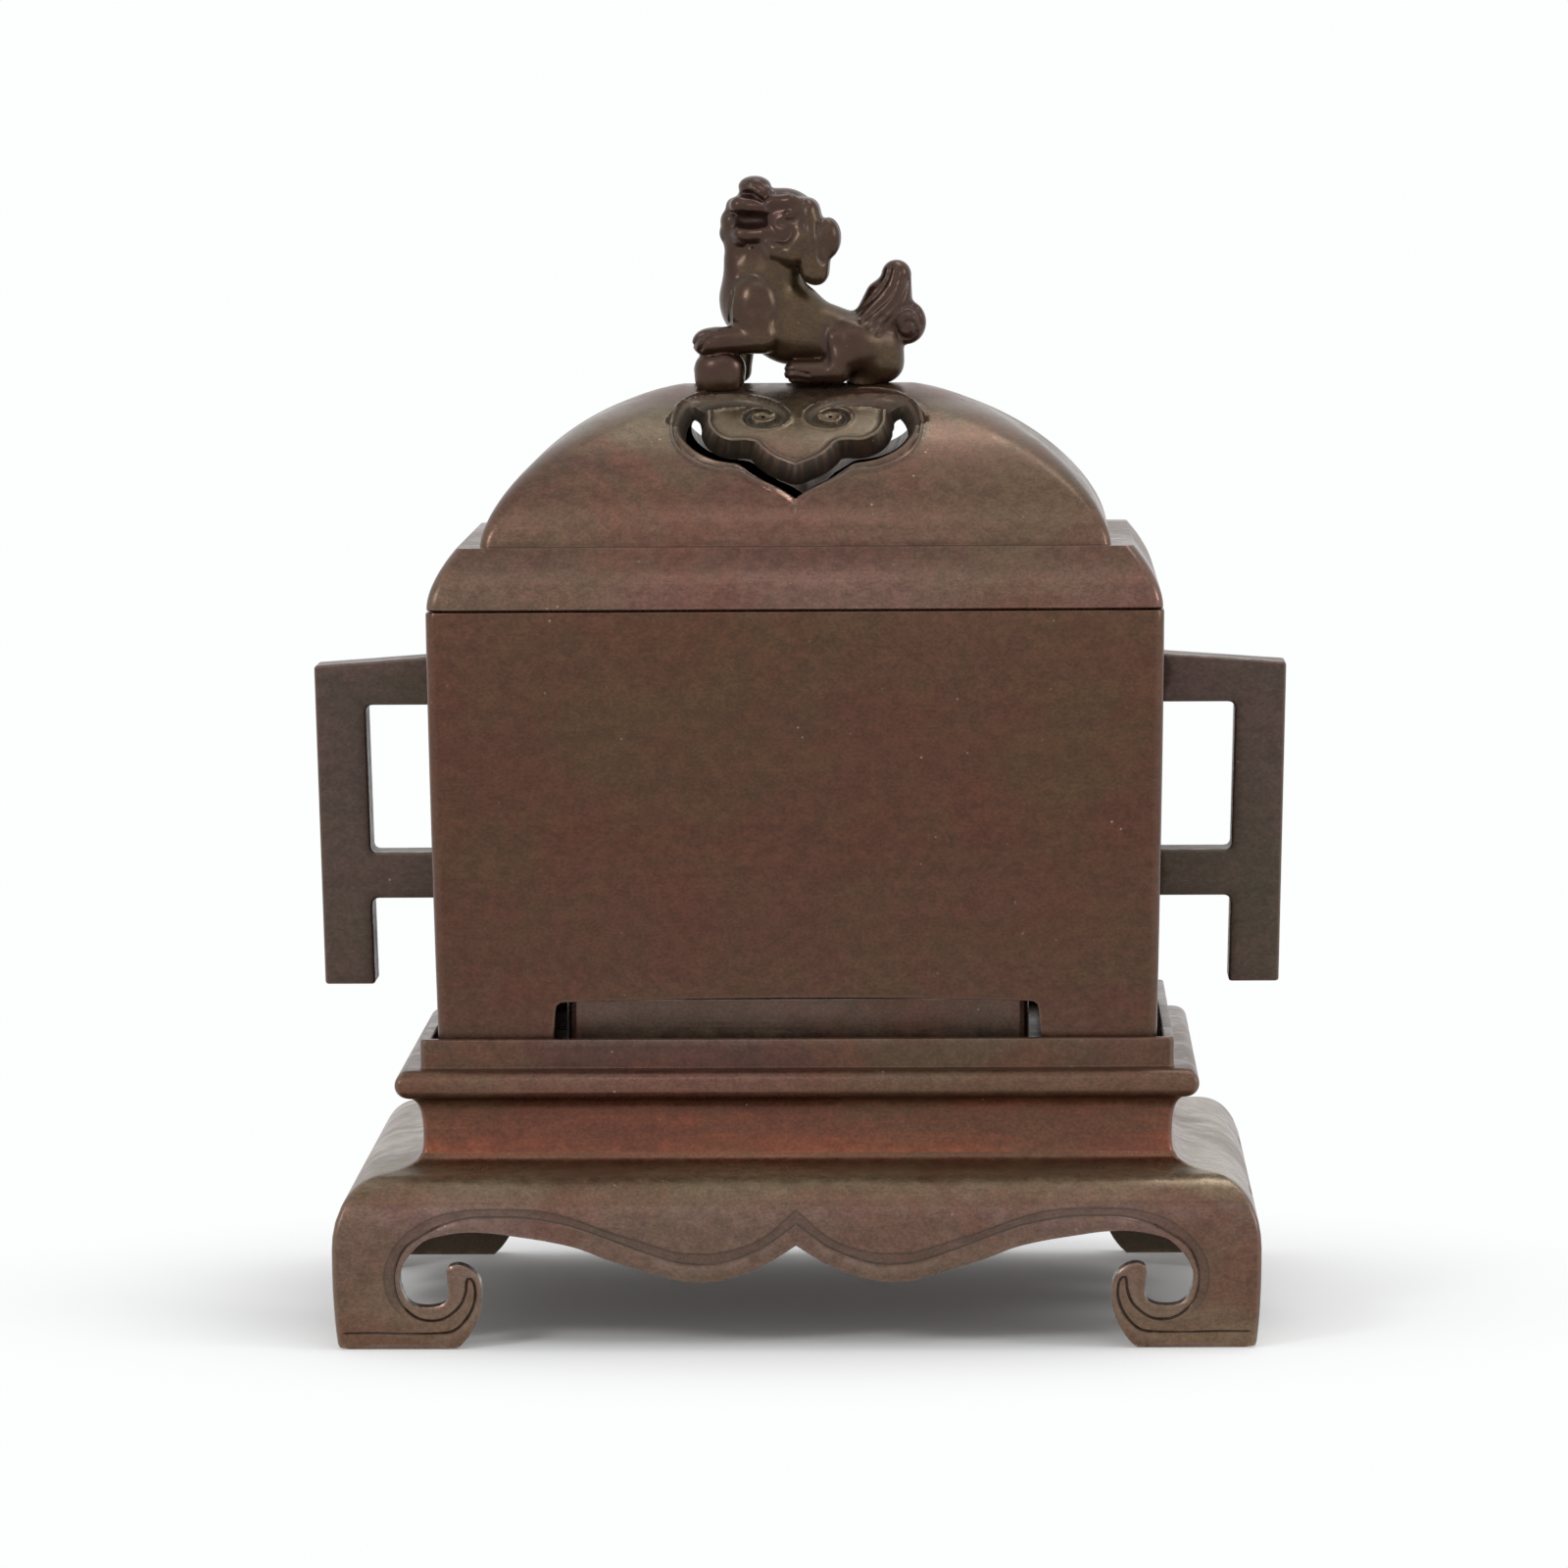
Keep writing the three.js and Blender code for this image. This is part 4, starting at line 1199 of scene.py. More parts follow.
    def camera(self) -> None:
        """The photograph's view: a long lens in front, a little to the right and looking down."""
        yaw, pitch, roll = (math.radians(angle) for angle in self.turns)
        ahead = Vector((-math.sin(yaw) * math.cos(pitch), math.cos(yaw) * math.cos(pitch), -math.sin(pitch)))
        level = Vector((math.cos(yaw), math.sin(yaw), 0))
        upright = level.cross(ahead)
        right = level * math.cos(roll) + upright * math.sin(roll)
        top = upright * math.cos(roll) - level * math.sin(roll)
        data = bpy.data.cameras.new("camera")
        data.sensor_width = self.sensor
        data.lens = self.lens
        camera = bpy.data.objects.new("camera", data)
        bpy.context.scene.collection.objects.link(camera)
        matrix = Matrix((right, top, -ahead)).transposed().to_4x4()
        matrix.translation = Vector(self.eye)
        camera.matrix_world = matrix
        bpy.context.scene.camera = camera

    def build(self) -> None:
        """Sets the colour transform and builds everything round the object."""
        bpy.context.scene.view_settings.view_transform = "Standard"
        self.floor()
        self.air()
        self.lamps()
        self.camera()


# Castings with four sides.


@dataclass
class Skin:
    """One side of a wall, inner or outer: its half width by height, and its corner radius."""

    half: Callable[[Array], Array]
    corner: float

    def along(self, z: Array) -> Array:
        """Where the wide face ends and the corner starts."""
        return self.half(z) - self.corner


Rise = Callable[[Array], tuple[Array, Array, Array]]


@dataclass
class Face:
    """A drawing on the front that is carried to every side.

    The narrow sides repeat the front with its ends kept whole: beyond the join, a place is as far from
    the corner as on the front, and within it everything is squeezed evenly.
    """

    join: float

    def along(self, side: Side, x: Array) -> Array:
        """Where a place on the front lies on a side.

        Args:
            side: the side.
            x: places on the front.

        Returns:
            The places on that side.
        """
        if side.long:
            return x
        ends = np.sign(x) * (np.abs(x) - MITRE)
        return np.where(np.abs(x) > self.join, ends, x * (self.join - MITRE) / self.join)


@dataclass
class FootedShell:
    """A mitred casting whose lowest part is cut through on its four sides.

    Up to the seam each side is a sheet of triangles in the plane of width and height, pushed out to the
    skin's half width. Above the seam the casting is a stack of rings. The opening is an open line from
    the left foot over to the right one.
    """

    outer: Skin
    inner: Skin
    face: Face
    bottom: float
    seam: float
    opening: Array
    lines: Sequence[Array]
    rise: Rise
    rings: Sequence[tuple[float, float, float]]
    keep: float
    steps: int = 5
    grid: float = 2.2
    rows: int = 16
    columns: int = 57

    def sheet(self) -> tuple[Sheet, Array]:
        """The sheet of the front, and the heights of the rows at its ends.

        Returns:
            The sheet and the heights.
        """
        z = np.linspace(0, 1, self.rows) ** 1.6 * (self.seam - self.bottom) + self.bottom
        end = self.outer.along(z)
        top = np.linspace(-1, 1, self.columns) * end[-1]
        foot = resample(np.array([self.opening[-1], [end[0], self.bottom]]), self.grid)[1:-1]
        loop = np.vstack([
            self.opening,
            foot,
            np.column_stack([end, z]),
            np.column_stack([top, np.full(self.columns, self.seam)])[1:-1][::-1],
            np.column_stack([-end, z])[::-1],
            (foot * [-1, 1])[::-1],
        ])
        grid = lattice(loop.min(0), loop.max(0), self.grid)
        return Sheet.cut([loop], self.lines, [grid], self.grid * 0.45), z

    def squeezed(self, x: Array, z: Array) -> Array:
        """Where a place of the outer skin lies on the inner one."""
        return drawn_in(x, self.keep, self.outer.along(z), self.inner.along(z))

    def corner(self, skin: Skin, z: Array, turned: bool, far: bool) -> Array:
        """The quarter circles of one upright corner, a row to a height.

        Args:
            skin: the skin.
            z: the heights.
            turned: whether it is on the left.
            far: whether it is away from the front, as turned.

        Returns:
            The points, rows by columns by three.
        """
        half = skin.half(z)[:, None]
        angle = np.radians(np.linspace(0, 90, self.steps + 1))[None]
        x = half - skin.corner + skin.corner * np.sin(angle)
        y = half - MITRE - skin.corner + skin.corner * np.cos(angle)
        turn = -1 if turned else 1
        return np.stack([x * turn, y * (turn if far else -turn), np.broadcast_to(z[:, None], x.shape)], -1)

    def build(self, name: str) -> bpy.types.Object:
        """Makes the casting.

        Args:
            name: the piece's name.

        Returns:
            The object.
        """
        shell = Shell()
        sheet, z_rows = self.sheet()
        x, z = sheet.points.T
        lift, shade_and_patina, wear_and_highlight = self.rise(sheet.points)
        ends = sheet.points[sheet.border]
        at_top = (ends[:, :, 1] > self.seam - 0.001).all(1)
        at_end = (np.abs(ends[:, :, 0]) > self.outer.along(ends[:, :, 1]) - 0.001).all(1)
        cut = sheet.border[~(at_top | at_end)]
        x_in = self.squeezed(x, z)
        for side in Side:
            out = self.outer.half(z) + lift
            deep = self.inner.half(z)
            if side.long:
                out, deep = out - MITRE, deep - MITRE
            first = on_side(side, self.face.along(side, x), out, z)
            second = on_side(side, self.face.along(side, x_in), deep, z)
            shell.add(first, sheet.triangles, shade_and_patina, wear_and_highlight)
            # The inner skin gets half the hollow tone: painted shade.
            shell.add(second, sheet.triangles[:, ::-1], np.full(len(second), 0.5))
            shell.ribbon(first, second, cut)
        for turned in (False, True):
            for far in (False, True):
                rows = self.corner(self.outer, z_rows, turned, far)
                deep_rows = self.corner(self.inner, z_rows, turned, far)
                shell.grid(rows, worn=arc_wear_and_highlight(self.steps))
                shell.grid(deep_rows)
                shell.grid(np.stack([rows[0], deep_rows[0]]))
        even = Columns.even(self.columns, self.columns)
        shell.grid(self.stack(), closed=True, worn=corner_wear_and_highlight(even, self.steps))
        return shell.build(name)

    def stack(self) -> Array:
        """The rings from the outer seam over the top and down inside to the inner seam.

        Returns:
            The points, rings by columns by three.
        """
        seam = np.array([self.seam])
        share = np.linspace(-1, 1, self.columns)
        end = self.outer.along(seam)
        wide_in = self.squeezed(share * end, seam) / self.inner.along(seam)
        narrow = self.face.along(Side.RIGHT, share * end) / (end - MITRE)
        narrow_in = self.face.along(Side.RIGHT, self.squeezed(share * end, seam))
        narrow_in = narrow_in / (self.inner.along(seam) - MITRE)
        whole = [(float(self.outer.half(seam)[0]), self.seam, self.outer.corner), *self.rings]
        whole.append((float(self.inner.half(seam)[0]), self.seam, self.inner.corner))
        top = max(range(len(whole)), key=lambda k: whole[k][1])
        rows = []
        for k, (half, z, radius) in enumerate(whole):
            inside_now = k > top + 1
            columns = Columns(wide_in, narrow_in) if inside_now else Columns(share, narrow)
            rows.append(ring(Level(half, z, radius), columns, self.steps))
        return np.stack(rows)


@dataclass
class StandCasting:
    """The footed stand: rim, torus, cove, ogee shoulder, cusped apron and scrolled feet."""

    foot_half: float = 97.8
    foot_round: float = 1.2
    apron_half: float = 98.95
    seam: float = 30.6
    shoulder: tuple[float, float] = (90.55, 36.3)
    neck_half: float = 80.35
    torus: tuple[float, float, float] = (83.0, 55.1, 3.1)
    rim: tuple[float, float] = (80.8, 64.5)
    rim_base: float = 58.2
    recess_half: float = 78.45
    ledge: float = 57.4
    ledge_under: float = 54.4
    hatch_half: float = 70.05
    inner_neck: float = 75.85
    line_width: float = 0.34
    line_depth: float = 0.34
    cove_depth: float = 0.55
    brow_depth: float = 0.16
    bead_fall: float = 0.2
    arris: float = 1.0
    arris_fall: float = 0.42
    crest: float = 0.95
    cove_end: float = 0.7
    floor_line: float = 0.25
    arch: Curve = (
        (0, 22.3), (3.4, 20.1), (6.7, 18.2), (10.9, 16.4), (15.1, 15.1), (18.4, 14.5), (21.6, 14.5),
        (25.5, 15), (33.9, 17.4), (40.1, 19.3), (46.3, 21.7), (52.6, 23.2), (59.5, 24.3), (65.5, 25.1),
        (71.4, 25.2), (77.2, 24.2), (80.1, 22.8), (83.1, 19.4), (84.4, 16.3), (84.2, 13.6), (82.9, 10.7),
        (80.7, 9.4), (77.4, 9.3), (74.9, 10.2), (74, 12), (74.4, 15.2), (74.3, 17.5), (72.9, 18.3),
        (71.1, 18.2), (68.9, 17), (67.4, 14.9), (67, 11.2), (67.7, 7.3), (69.1, 4.1), (70.8, 1.7),
        (72.5, 0),
    )
    bead: Curve = (
        (0, 27), (3.4, 24.5), (6.7, 22.2), (10.9, 20.3), (15.1, 18.9), (18.4, 18.4), (21.3, 18.4),
        (25.5, 18.9), (31.7, 20.8), (40.1, 23.9), (48.4, 26.7), (56.7, 28.2), (62.6, 28.5), (69.9, 28.3),
        (75.7, 26.7), (80.4, 24.3), (83.7, 21.6), (85.4, 17.8), (85.7, 14.8), (84.9, 11), (82.6, 8.2),
        (79.9, 6.6), (76.5, 6.4), (73.9, 7.5), (71.5, 9.8), (70.4, 12.5), (70.1, 15.2), (69.2, 15.3),
        (68.5, 13.9), (68.4, 11.4), (69.2, 8.6), (70.9, 6), (73.2, 4.1), (76.2, 3.6), (79.5, 3.5),
        (84, 3.5), (90, 3.65), (96, 3.6),
    )
    channel: Curve = (
        (0, 29.7), (2.5, 27.6), (5.4, 25.1), (8.8, 23), (13, 21.5), (17.1, 20.7), (21.3, 20.6),
        (25.5, 20.9), (31.7, 22.8), (40, 25.4), (48.4, 28.3), (54.5, 29.6), (60.9, 30), (65.5, 30),
        (71.3, 29.7), (77.2, 28.4), (81.9, 25.9), (85.1, 22.8), (87.2, 19), (87.8, 15.6), (87.3, 12.3),
        (86.2, 9.9), (84.9, 8.3),
    )

    def profile(self) -> Array:
        """The outer section from the floor to the inside of the rim, as half widths and heights.

        Returns:
            The section's points.
        """
        x, z, radius = self.torus
        rim, top = self.rim
        line = Stroke(self.foot_half - self.foot_round, 0)
        line.curve([(self.foot_half, 0), (self.foot_half + 0.1, self.foot_round)], 4)
        line.curve([(self.foot_half + 0.7, 5.96), (self.apron_half, 11.92), (self.apron_half, 21.46)], 12)
        line.curve([(self.apron_half, 26.2), (self.apron_half - 1.6, 29.8)], 8)
        line.curve([(self.apron_half - 4, 35.1), self.shoulder], 14)
        line.line(self.shoulder[0] - 0.5, self.shoulder[1] + 0.12)
        line.curve([(86.2, 37.1), (81.9, 37.2), (81.05, 39.7)], 14)
        line.line(80.75, 40.05).curve([(80.4, 41), (self.neck_half, 43.2)], 6)
        line.curve([(self.neck_half, 48.9), (81.25, 51.4), (x, z - radius)], 12)
        line.arc(x, z, radius, -90, 90, 16)
        line.line(rim + 0.35, self.rim_base).arc(rim + 0.35, self.rim_base + 0.35, 0.35, -90, -180, 3)
        line.line(rim, top - 0.55).arc(rim - 0.55, top - 0.55, 0.55, 0, 90, 5)
        line.arc(self.recess_half + 0.4, top - 0.4, 0.4, 90, 180, 4)
        return line.points()

    def outer_half(self, z: Array) -> Array:
        """Half width of the apron at a height, read from the section."""
        section = self.profile()
        low = section[: np.argmax(section[:, 1] > self.seam + 2)]
        return np.interp(z, low[:, 1], low[:, 0])

    def inner_half(self, z: Array) -> Array:
        """Half width of the hollow at a height."""
        return np.interp(z, (0, 23.84, 31.8), (93.75, 93.75, 86.05))

    def rings(self) -> list[tuple[float, float, float]]:
        """Every level above the seam: half width, height and corner radius.

        Returns:
            The levels, from the outer seam over the rim to the inner seam.
        """
        section = self.profile()
        upper = section[np.argmax(section[:, 1] > self.seam + 0.05) :]
        outer = [(half, z, 1.2) for half, z in upper.tolist()]
        inner = [
            (self.recess_half, self.ledge, 1.2),
            (self.hatch_half, self.ledge, 1.2),
            (self.hatch_half, self.ledge_under, 1.2),
            (self.inner_neck, self.ledge_under, 1),
            (self.inner_neck, 37.3, 1),
            (86.05, 31.8, 1),
        ]
        return outer + inner

    def relief(self, bead: Array, channel: Array, edge: Array) -> Rise:
        """The cove between the two incised lines, the lines themselves, and the rounded bead.

        Args:
            bead: the incised line nearest to the opening.
            channel: the line on the other side of the cove.
            edge: the outline of the opening.

        Returns:
            A function from points of the face to how far they stand out, how much painted shade and patina
            they get, and how much wear and painted highlight.
        """
        ends = np.argmin(np.linalg.norm(bead[:, None] - channel[None, [0, -1]], axis=2), axis=0)
        between = np.vstack([bead[ends[0] : ends[1] + 1], channel[::-1]])

        def rise(points: Array) -> tuple[Array, Array, Array]:
            """The cove is four times the product of the two distances, over the square of their sum.

            Args:
                points: places across and up the face.

            Returns:
                How far each stands out, how much painted shade and patina and how much wear and painted
                highlight it gets.
            """
            to_edge = Nearness.of(points, edge).distance
            to_bead = Nearness.of(points, bead).distance
            to_channel = Nearness.of(points, channel).distance
            below_seam = np.clip((self.seam - points[:, 1]) / 0.6, 0, 1)
            cove = 4 * to_bead * to_channel / np.maximum(to_bead + to_channel, 1e-3) ** 2
            cove = cove * inside(points, [between])
            groove = np.clip(1 - to_bead / self.line_width, 0, 1)
            brow = np.clip(1 - to_channel / self.line_width, 0, 1)
            on_bead = (to_edge < to_channel) * (to_edge < 5)
            round_off = np.clip(1 - to_edge / self.arris, 0, 1)
            lift = -self.cove_depth * cove - self.line_depth * groove - self.brow_depth * brow
            lift -= self.bead_fall * np.clip(1 - to_bead / 0.9, 0, 1) ** 2 * on_bead
            lift -= self.arris_fall * round_off**2
            # Painted shade and patina in the incised lines and the cove; wear and a painted highlight on the
            # bead's crest and along the opening's edge.
            shade_and_patina = np.maximum(0.95 * groove**0.8, np.maximum(0.5 * cove, 0.62 * brow))
            crest = np.exp(-(((to_bead - self.crest) / 0.4) ** 2)) * on_bead
            wear_and_highlight = np.maximum(0.3 * crest, 0.45 * np.clip(1 - to_edge / 0.6, 0, 1)) * (1 - shade_and_patina)
            return lift * below_seam, shade_and_patina * below_seam, wear_and_highlight * below_seam

        return rise

    def build(self, dresser: Dresser) -> None:
        """Draws the apron and makes the casting.

        Args:
            dresser: gives the finish.
        """
        opening = mirrored(spline(self.arch, 0.8))
        opening[[0, -1], 1] = 0
        bead, channel = (mirrored(spline(curve, 0.8)) for curve in (self.bead, self.channel))
        wide = self.line_width
        lines = [offset(line, shift) for line in (bead, channel) for shift in (-wide, 0, wide)]
        lines += [offset(bead, -self.crest), offset(channel, self.cove_end)]
        lines += [offset(opening, inset) for inset in (self.arris * 0.4, self.arris)]
        lines = [np.column_stack([line[:, 0], np.minimum(line[:, 1], self.seam - 0.3)]) for line in lines]
        lines = [line[line[:, 1] > self.floor_line] for line in lines]
        shell = FootedShell(
            outer=Skin(self.outer_half, 1.2),
            inner=Skin(self.inner_half, 1.0),
            face=Face(69.45),
            bottom=0,
            seam=self.seam,
            opening=opening,
            lines=lines,
            rise=self.relief(bead, channel, opening),
            rings=self.rings(),
            keep=85.6,
        )
        dresser.settle(shell.build("stand_casting"), Finish.STAND, "stand", "stand_frame")


@dataclass
class VesselBox:
    """The box: four slightly tapering walls over a skirt that is cut away between its feet."""

    mouth_half: float = 79.0
    taper: float = 1.9
    power: float = 1.3
    bottom: float = 59.3
    mouth: float = 156.1
    corner: float = 2.2
    seam: float = 75.0
    cut_side: float = 24.3
    cut_lean: float = 1.0
    cut_height: float = 12.7
    cut_arch: float = 0.9
    fillet: float = 1.5
    skirt_wall: float = 5.1
    wall: float = 5.5
    mouth_wall: float = 4.0
    ledge: float = 146.0
    arris: float = 0.6
    arris_fall: float = 0.22

    def half(self, z: Array) -> Array:
        """Half width at a height: the mouth's, less the taper times a power of the depth below it."""
        share = np.clip((self.mouth - z) / (self.mouth - self.bottom), 0, 1)
        return self.mouth_half - self.taper * share**self.power

    def skirt(self, z: Array) -> Array:
        """Half width inside the skirt."""
        return np.full(np.shape(z), self.mouth_half - self.taper - self.skirt_wall)

    def opening(self) -> Array:
        """The cut in the skirt: leaning ends, small fillets and a slightly arched top.

        Returns:
            The line from the left foot to the right one.
        """
        foot = self.mouth_half - self.taper - self.cut_side
        top = self.bottom + self.cut_height
        end = foot - self.cut_lean
        line = Stroke(foot, self.bottom).line(end + 0.1, top - self.fillet)
        line.curve([(end, top), (end - self.fillet, top + 0.05)], 5)
        line.curve([(end / 2, top + self.cut_arch), (0, top + self.cut_arch)], 24)
        half = resample(line.points()[::-1], 1.1)
        return mirrored(half)

    def rings(self) -> list[tuple[float, float, float]]:
        """Every level above the seam, up the outside, over the mouth and down inside.

        Returns:
            The levels.
        """
        heights = np.linspace(self.seam, self.mouth - 0.35, 26)[1:]
        outer = [(float(self.half(z)), float(z), self.corner) for z in heights]
        inner = self.mouth_half - self.mouth_wall
        deep = self.mouth_half - self.wall
        return [
            *outer,
            (self.mouth_half - 0.1, self.mouth - 0.1, self.corner),
            (self.mouth_half - 0.35, self.mouth, self.corner),
            (inner + 0.3, self.mouth, 2.0),
            (inner, self.mouth - 0.3, 2.0),
            (inner, self.ledge, 2.0),
            (deep, self.ledge, 2.0),
            (deep, self.seam, 2.0),
        ]

    def rise(self, points: Array) -> tuple[Array, Array, Array]:
        """A rounded lower edge: it falls back by a square law near the cut, where it gets wear and a painted
        highlight.
        """
        gap = Nearness.of(points, self.opening()).distance
        near = np.clip(1 - gap / self.arris, 0, 1)
        return -self.arris_fall * near**2, np.zeros(len(points)), near * 0.7

    def build(self, dresser: Dresser) -> None:
        """Makes the box.

        Args:
            dresser: gives the finish.
        """
        opening = self.opening()
        shell = FootedShell(
            outer=Skin(self.half, self.corner),
            inner=Skin(self.skirt, 2.0),
            face=Face(45),
            bottom=self.bottom,
            seam=self.seam,
            opening=opening,
            lines=[offset(opening, inset) for inset in (self.arris / 3, self.arris)],
            rise=self.rise,
            rings=self.rings(),
            keep=60,
            grid=2.6,
            rows=9,
            columns=61,
        )
        dresser.settle(shell.build("box_casting"), Finish.BOX, "vessel", "vessel_body")


@dataclass
class Handle:
    """A flat angular handle with two bars and an upright that runs on below the lower bar."""

    box: VesselBox = field(default_factory=VesselBox)
    reach: float = 27.6
    lean: float = 1.75
    depth: float = 12.0
    below_mouth: float = 12.9
    drop: float = 1.9
    foot: float = 71.0
    top_bar: float = 10.6
    lower_top: float = 100.0
    lower_bar: float = 10.0
    upright: float = 11.0
    fillet: float = 1.6
    outer_round: float = 0.8
    gap: float = 0.3
    arris: float = 0.55
    fall: float = 0.4

    def outline(self) -> Array:
        """The shape from the front, counted round from the top of the root.

        Returns:
            The closed outline.
        """
        top = self.box.mouth - self.below_mouth
        outer = self.box.mouth_half + self.reach
        window, bar_foot = top - self.top_bar, self.lower_top - self.lower_bar

        def root(z: float) -> float:
            """The side of the box, and the gap."""
            return float(self.box.half(np.array(z))) + self.gap

        def outside(z: float) -> float:
            """The leaning outer edge."""
            return outer - self.lean * (top - z) / (top - self.foot)

        def inner(z: float) -> float:
            """The inner edge of the upright."""
            return outside(z) - self.upright

        fillet, small, foot, lower_top = self.fillet, self.outer_round, self.foot, self.lower_top
        shoulder = top - self.drop
        line = Stroke(root(top), top)
        line.line(outer - small, shoulder).curve([(outer, shoulder), (outer, shoulder - small)], 5)
        line.line(outside(foot), foot + small)
        line.curve([(outside(foot), foot), (outside(foot) - small, foot)], 5)
        line.line(inner(foot) + small, foot).curve([(inner(foot), foot), (inner(foot), foot + small)], 5)
        line.line(inner(bar_foot), bar_foot - fillet)
        line.curve([(inner(bar_foot), bar_foot), (inner(bar_foot) - fillet, bar_foot)], 6)
        line.line(root(bar_foot), bar_foot).line(root(lower_top), lower_top)
        line.line(inner(lower_top) - fillet, lower_top)
        line.curve([(inner(lower_top), lower_top), (inner(lower_top), lower_top + fillet)], 6)
        line.line(inner(window), window - fillet)
        line.curve([(inner(window), window), (inner(window) - fillet, window)], 6)
        line.line(root(window), window)
        corners = line.points()
        runs = [resample(np.array(pair), 1.6)[:-1] for pair in zip(corners, np.roll(corners, -1, axis=0))]
        return np.vstack(runs)

    def build(self, side: Side, dresser: Dresser) -> None:
        """Makes one handle: two faces whose edges fall back by a square law, and the wall between them.

        Args:
            side: left or right.
            dresser: gives the finish.
        """
        outline = self.outline()
        closed = np.vstack([outline, outline[:1]])
        insets = [offset(closed, -self.arris * share) for share in (0.35, 1.0)]
        sheet = Sheet.cut([outline], insets, [lattice(outline.min(0), outline.max(0), 2.4)], 0.9)
        x, z = sheet.points.T
        near = np.clip(1 - Nearness.of(sheet.points, closed).distance / self.arris, 0, 1)
        y = self.depth / 2 - self.fall * near**2
        sign = 1 if side is Side.RIGHT else -1
        front = np.column_stack([sign * x, -y, z])
        back = np.column_stack([sign * x, y, z])
        shell = Shell()
        # The rounded edges get wear and a painted highlight.
        shell.add(front, sheet.triangles, wear_and_highlight=near * 0.8)
        shell.add(back, sheet.triangles, wear_and_highlight=near * 0.8)
        rows = [front + (back - front) * share for share in np.linspace(0, 1, 5)]
        for first, second in zip(rows, rows[1:]):
            shell.ribbon(first, second, sheet.border)
        name = "left" if side is Side.LEFT else "right"
        piece = shell.build(f"{name}_handle_casting")
        dresser.settle(piece, Finish.HANDLE, "vessel", f"handle_{name}")


@dataclass
class DomeSkin:
    """The dome's inner or outer surface, as levels of a mitred solid.

    The half width is the foot's, less the fullness times one less the cosine to a power, and the height
    is the rise times the sine to the same power.
    """

    foot: float
    base: float
    rise: float
    crease: float
    fade: float = 0.3
    power: float = 1.58
    full: float = 1.04
    crown: float = 25.2
    lean_foot: float = 32.9
    lean_base: float = 186.5

    def levels(self, count: int) -> Array:
        """Half width, height, corner radius and place along the front's lean, a row to a level.

        Args:
            count: how many levels.

        Returns:
            The table, from the foot up.
        """
        span = (self.foot - MITRE) * self.full
        last = math.acos((1 - (self.foot - self.crown) / span) ** (self.power / 2))
        angle = np.linspace(0, last, count)
        half = self.foot - span * (1 - np.cos(angle) ** (2 / self.power))
        z = self.base + self.rise * np.sin(angle) ** (2 / self.power)
        depth = half - MITRE
        corner = np.minimum(self.crease + self.fade * (self.foot - half), 0.9 * depth)
        place = ((self.lean_foot - depth) + (z - self.lean_base)) * math.sqrt(0.5)
        return np.column_stack([half, z, corner, place])

    def at(self, place: Array) -> Array:
        """The level at each place along the front's lean."""
        table = self.levels(400)
        return read(table, table[:, 3], place)


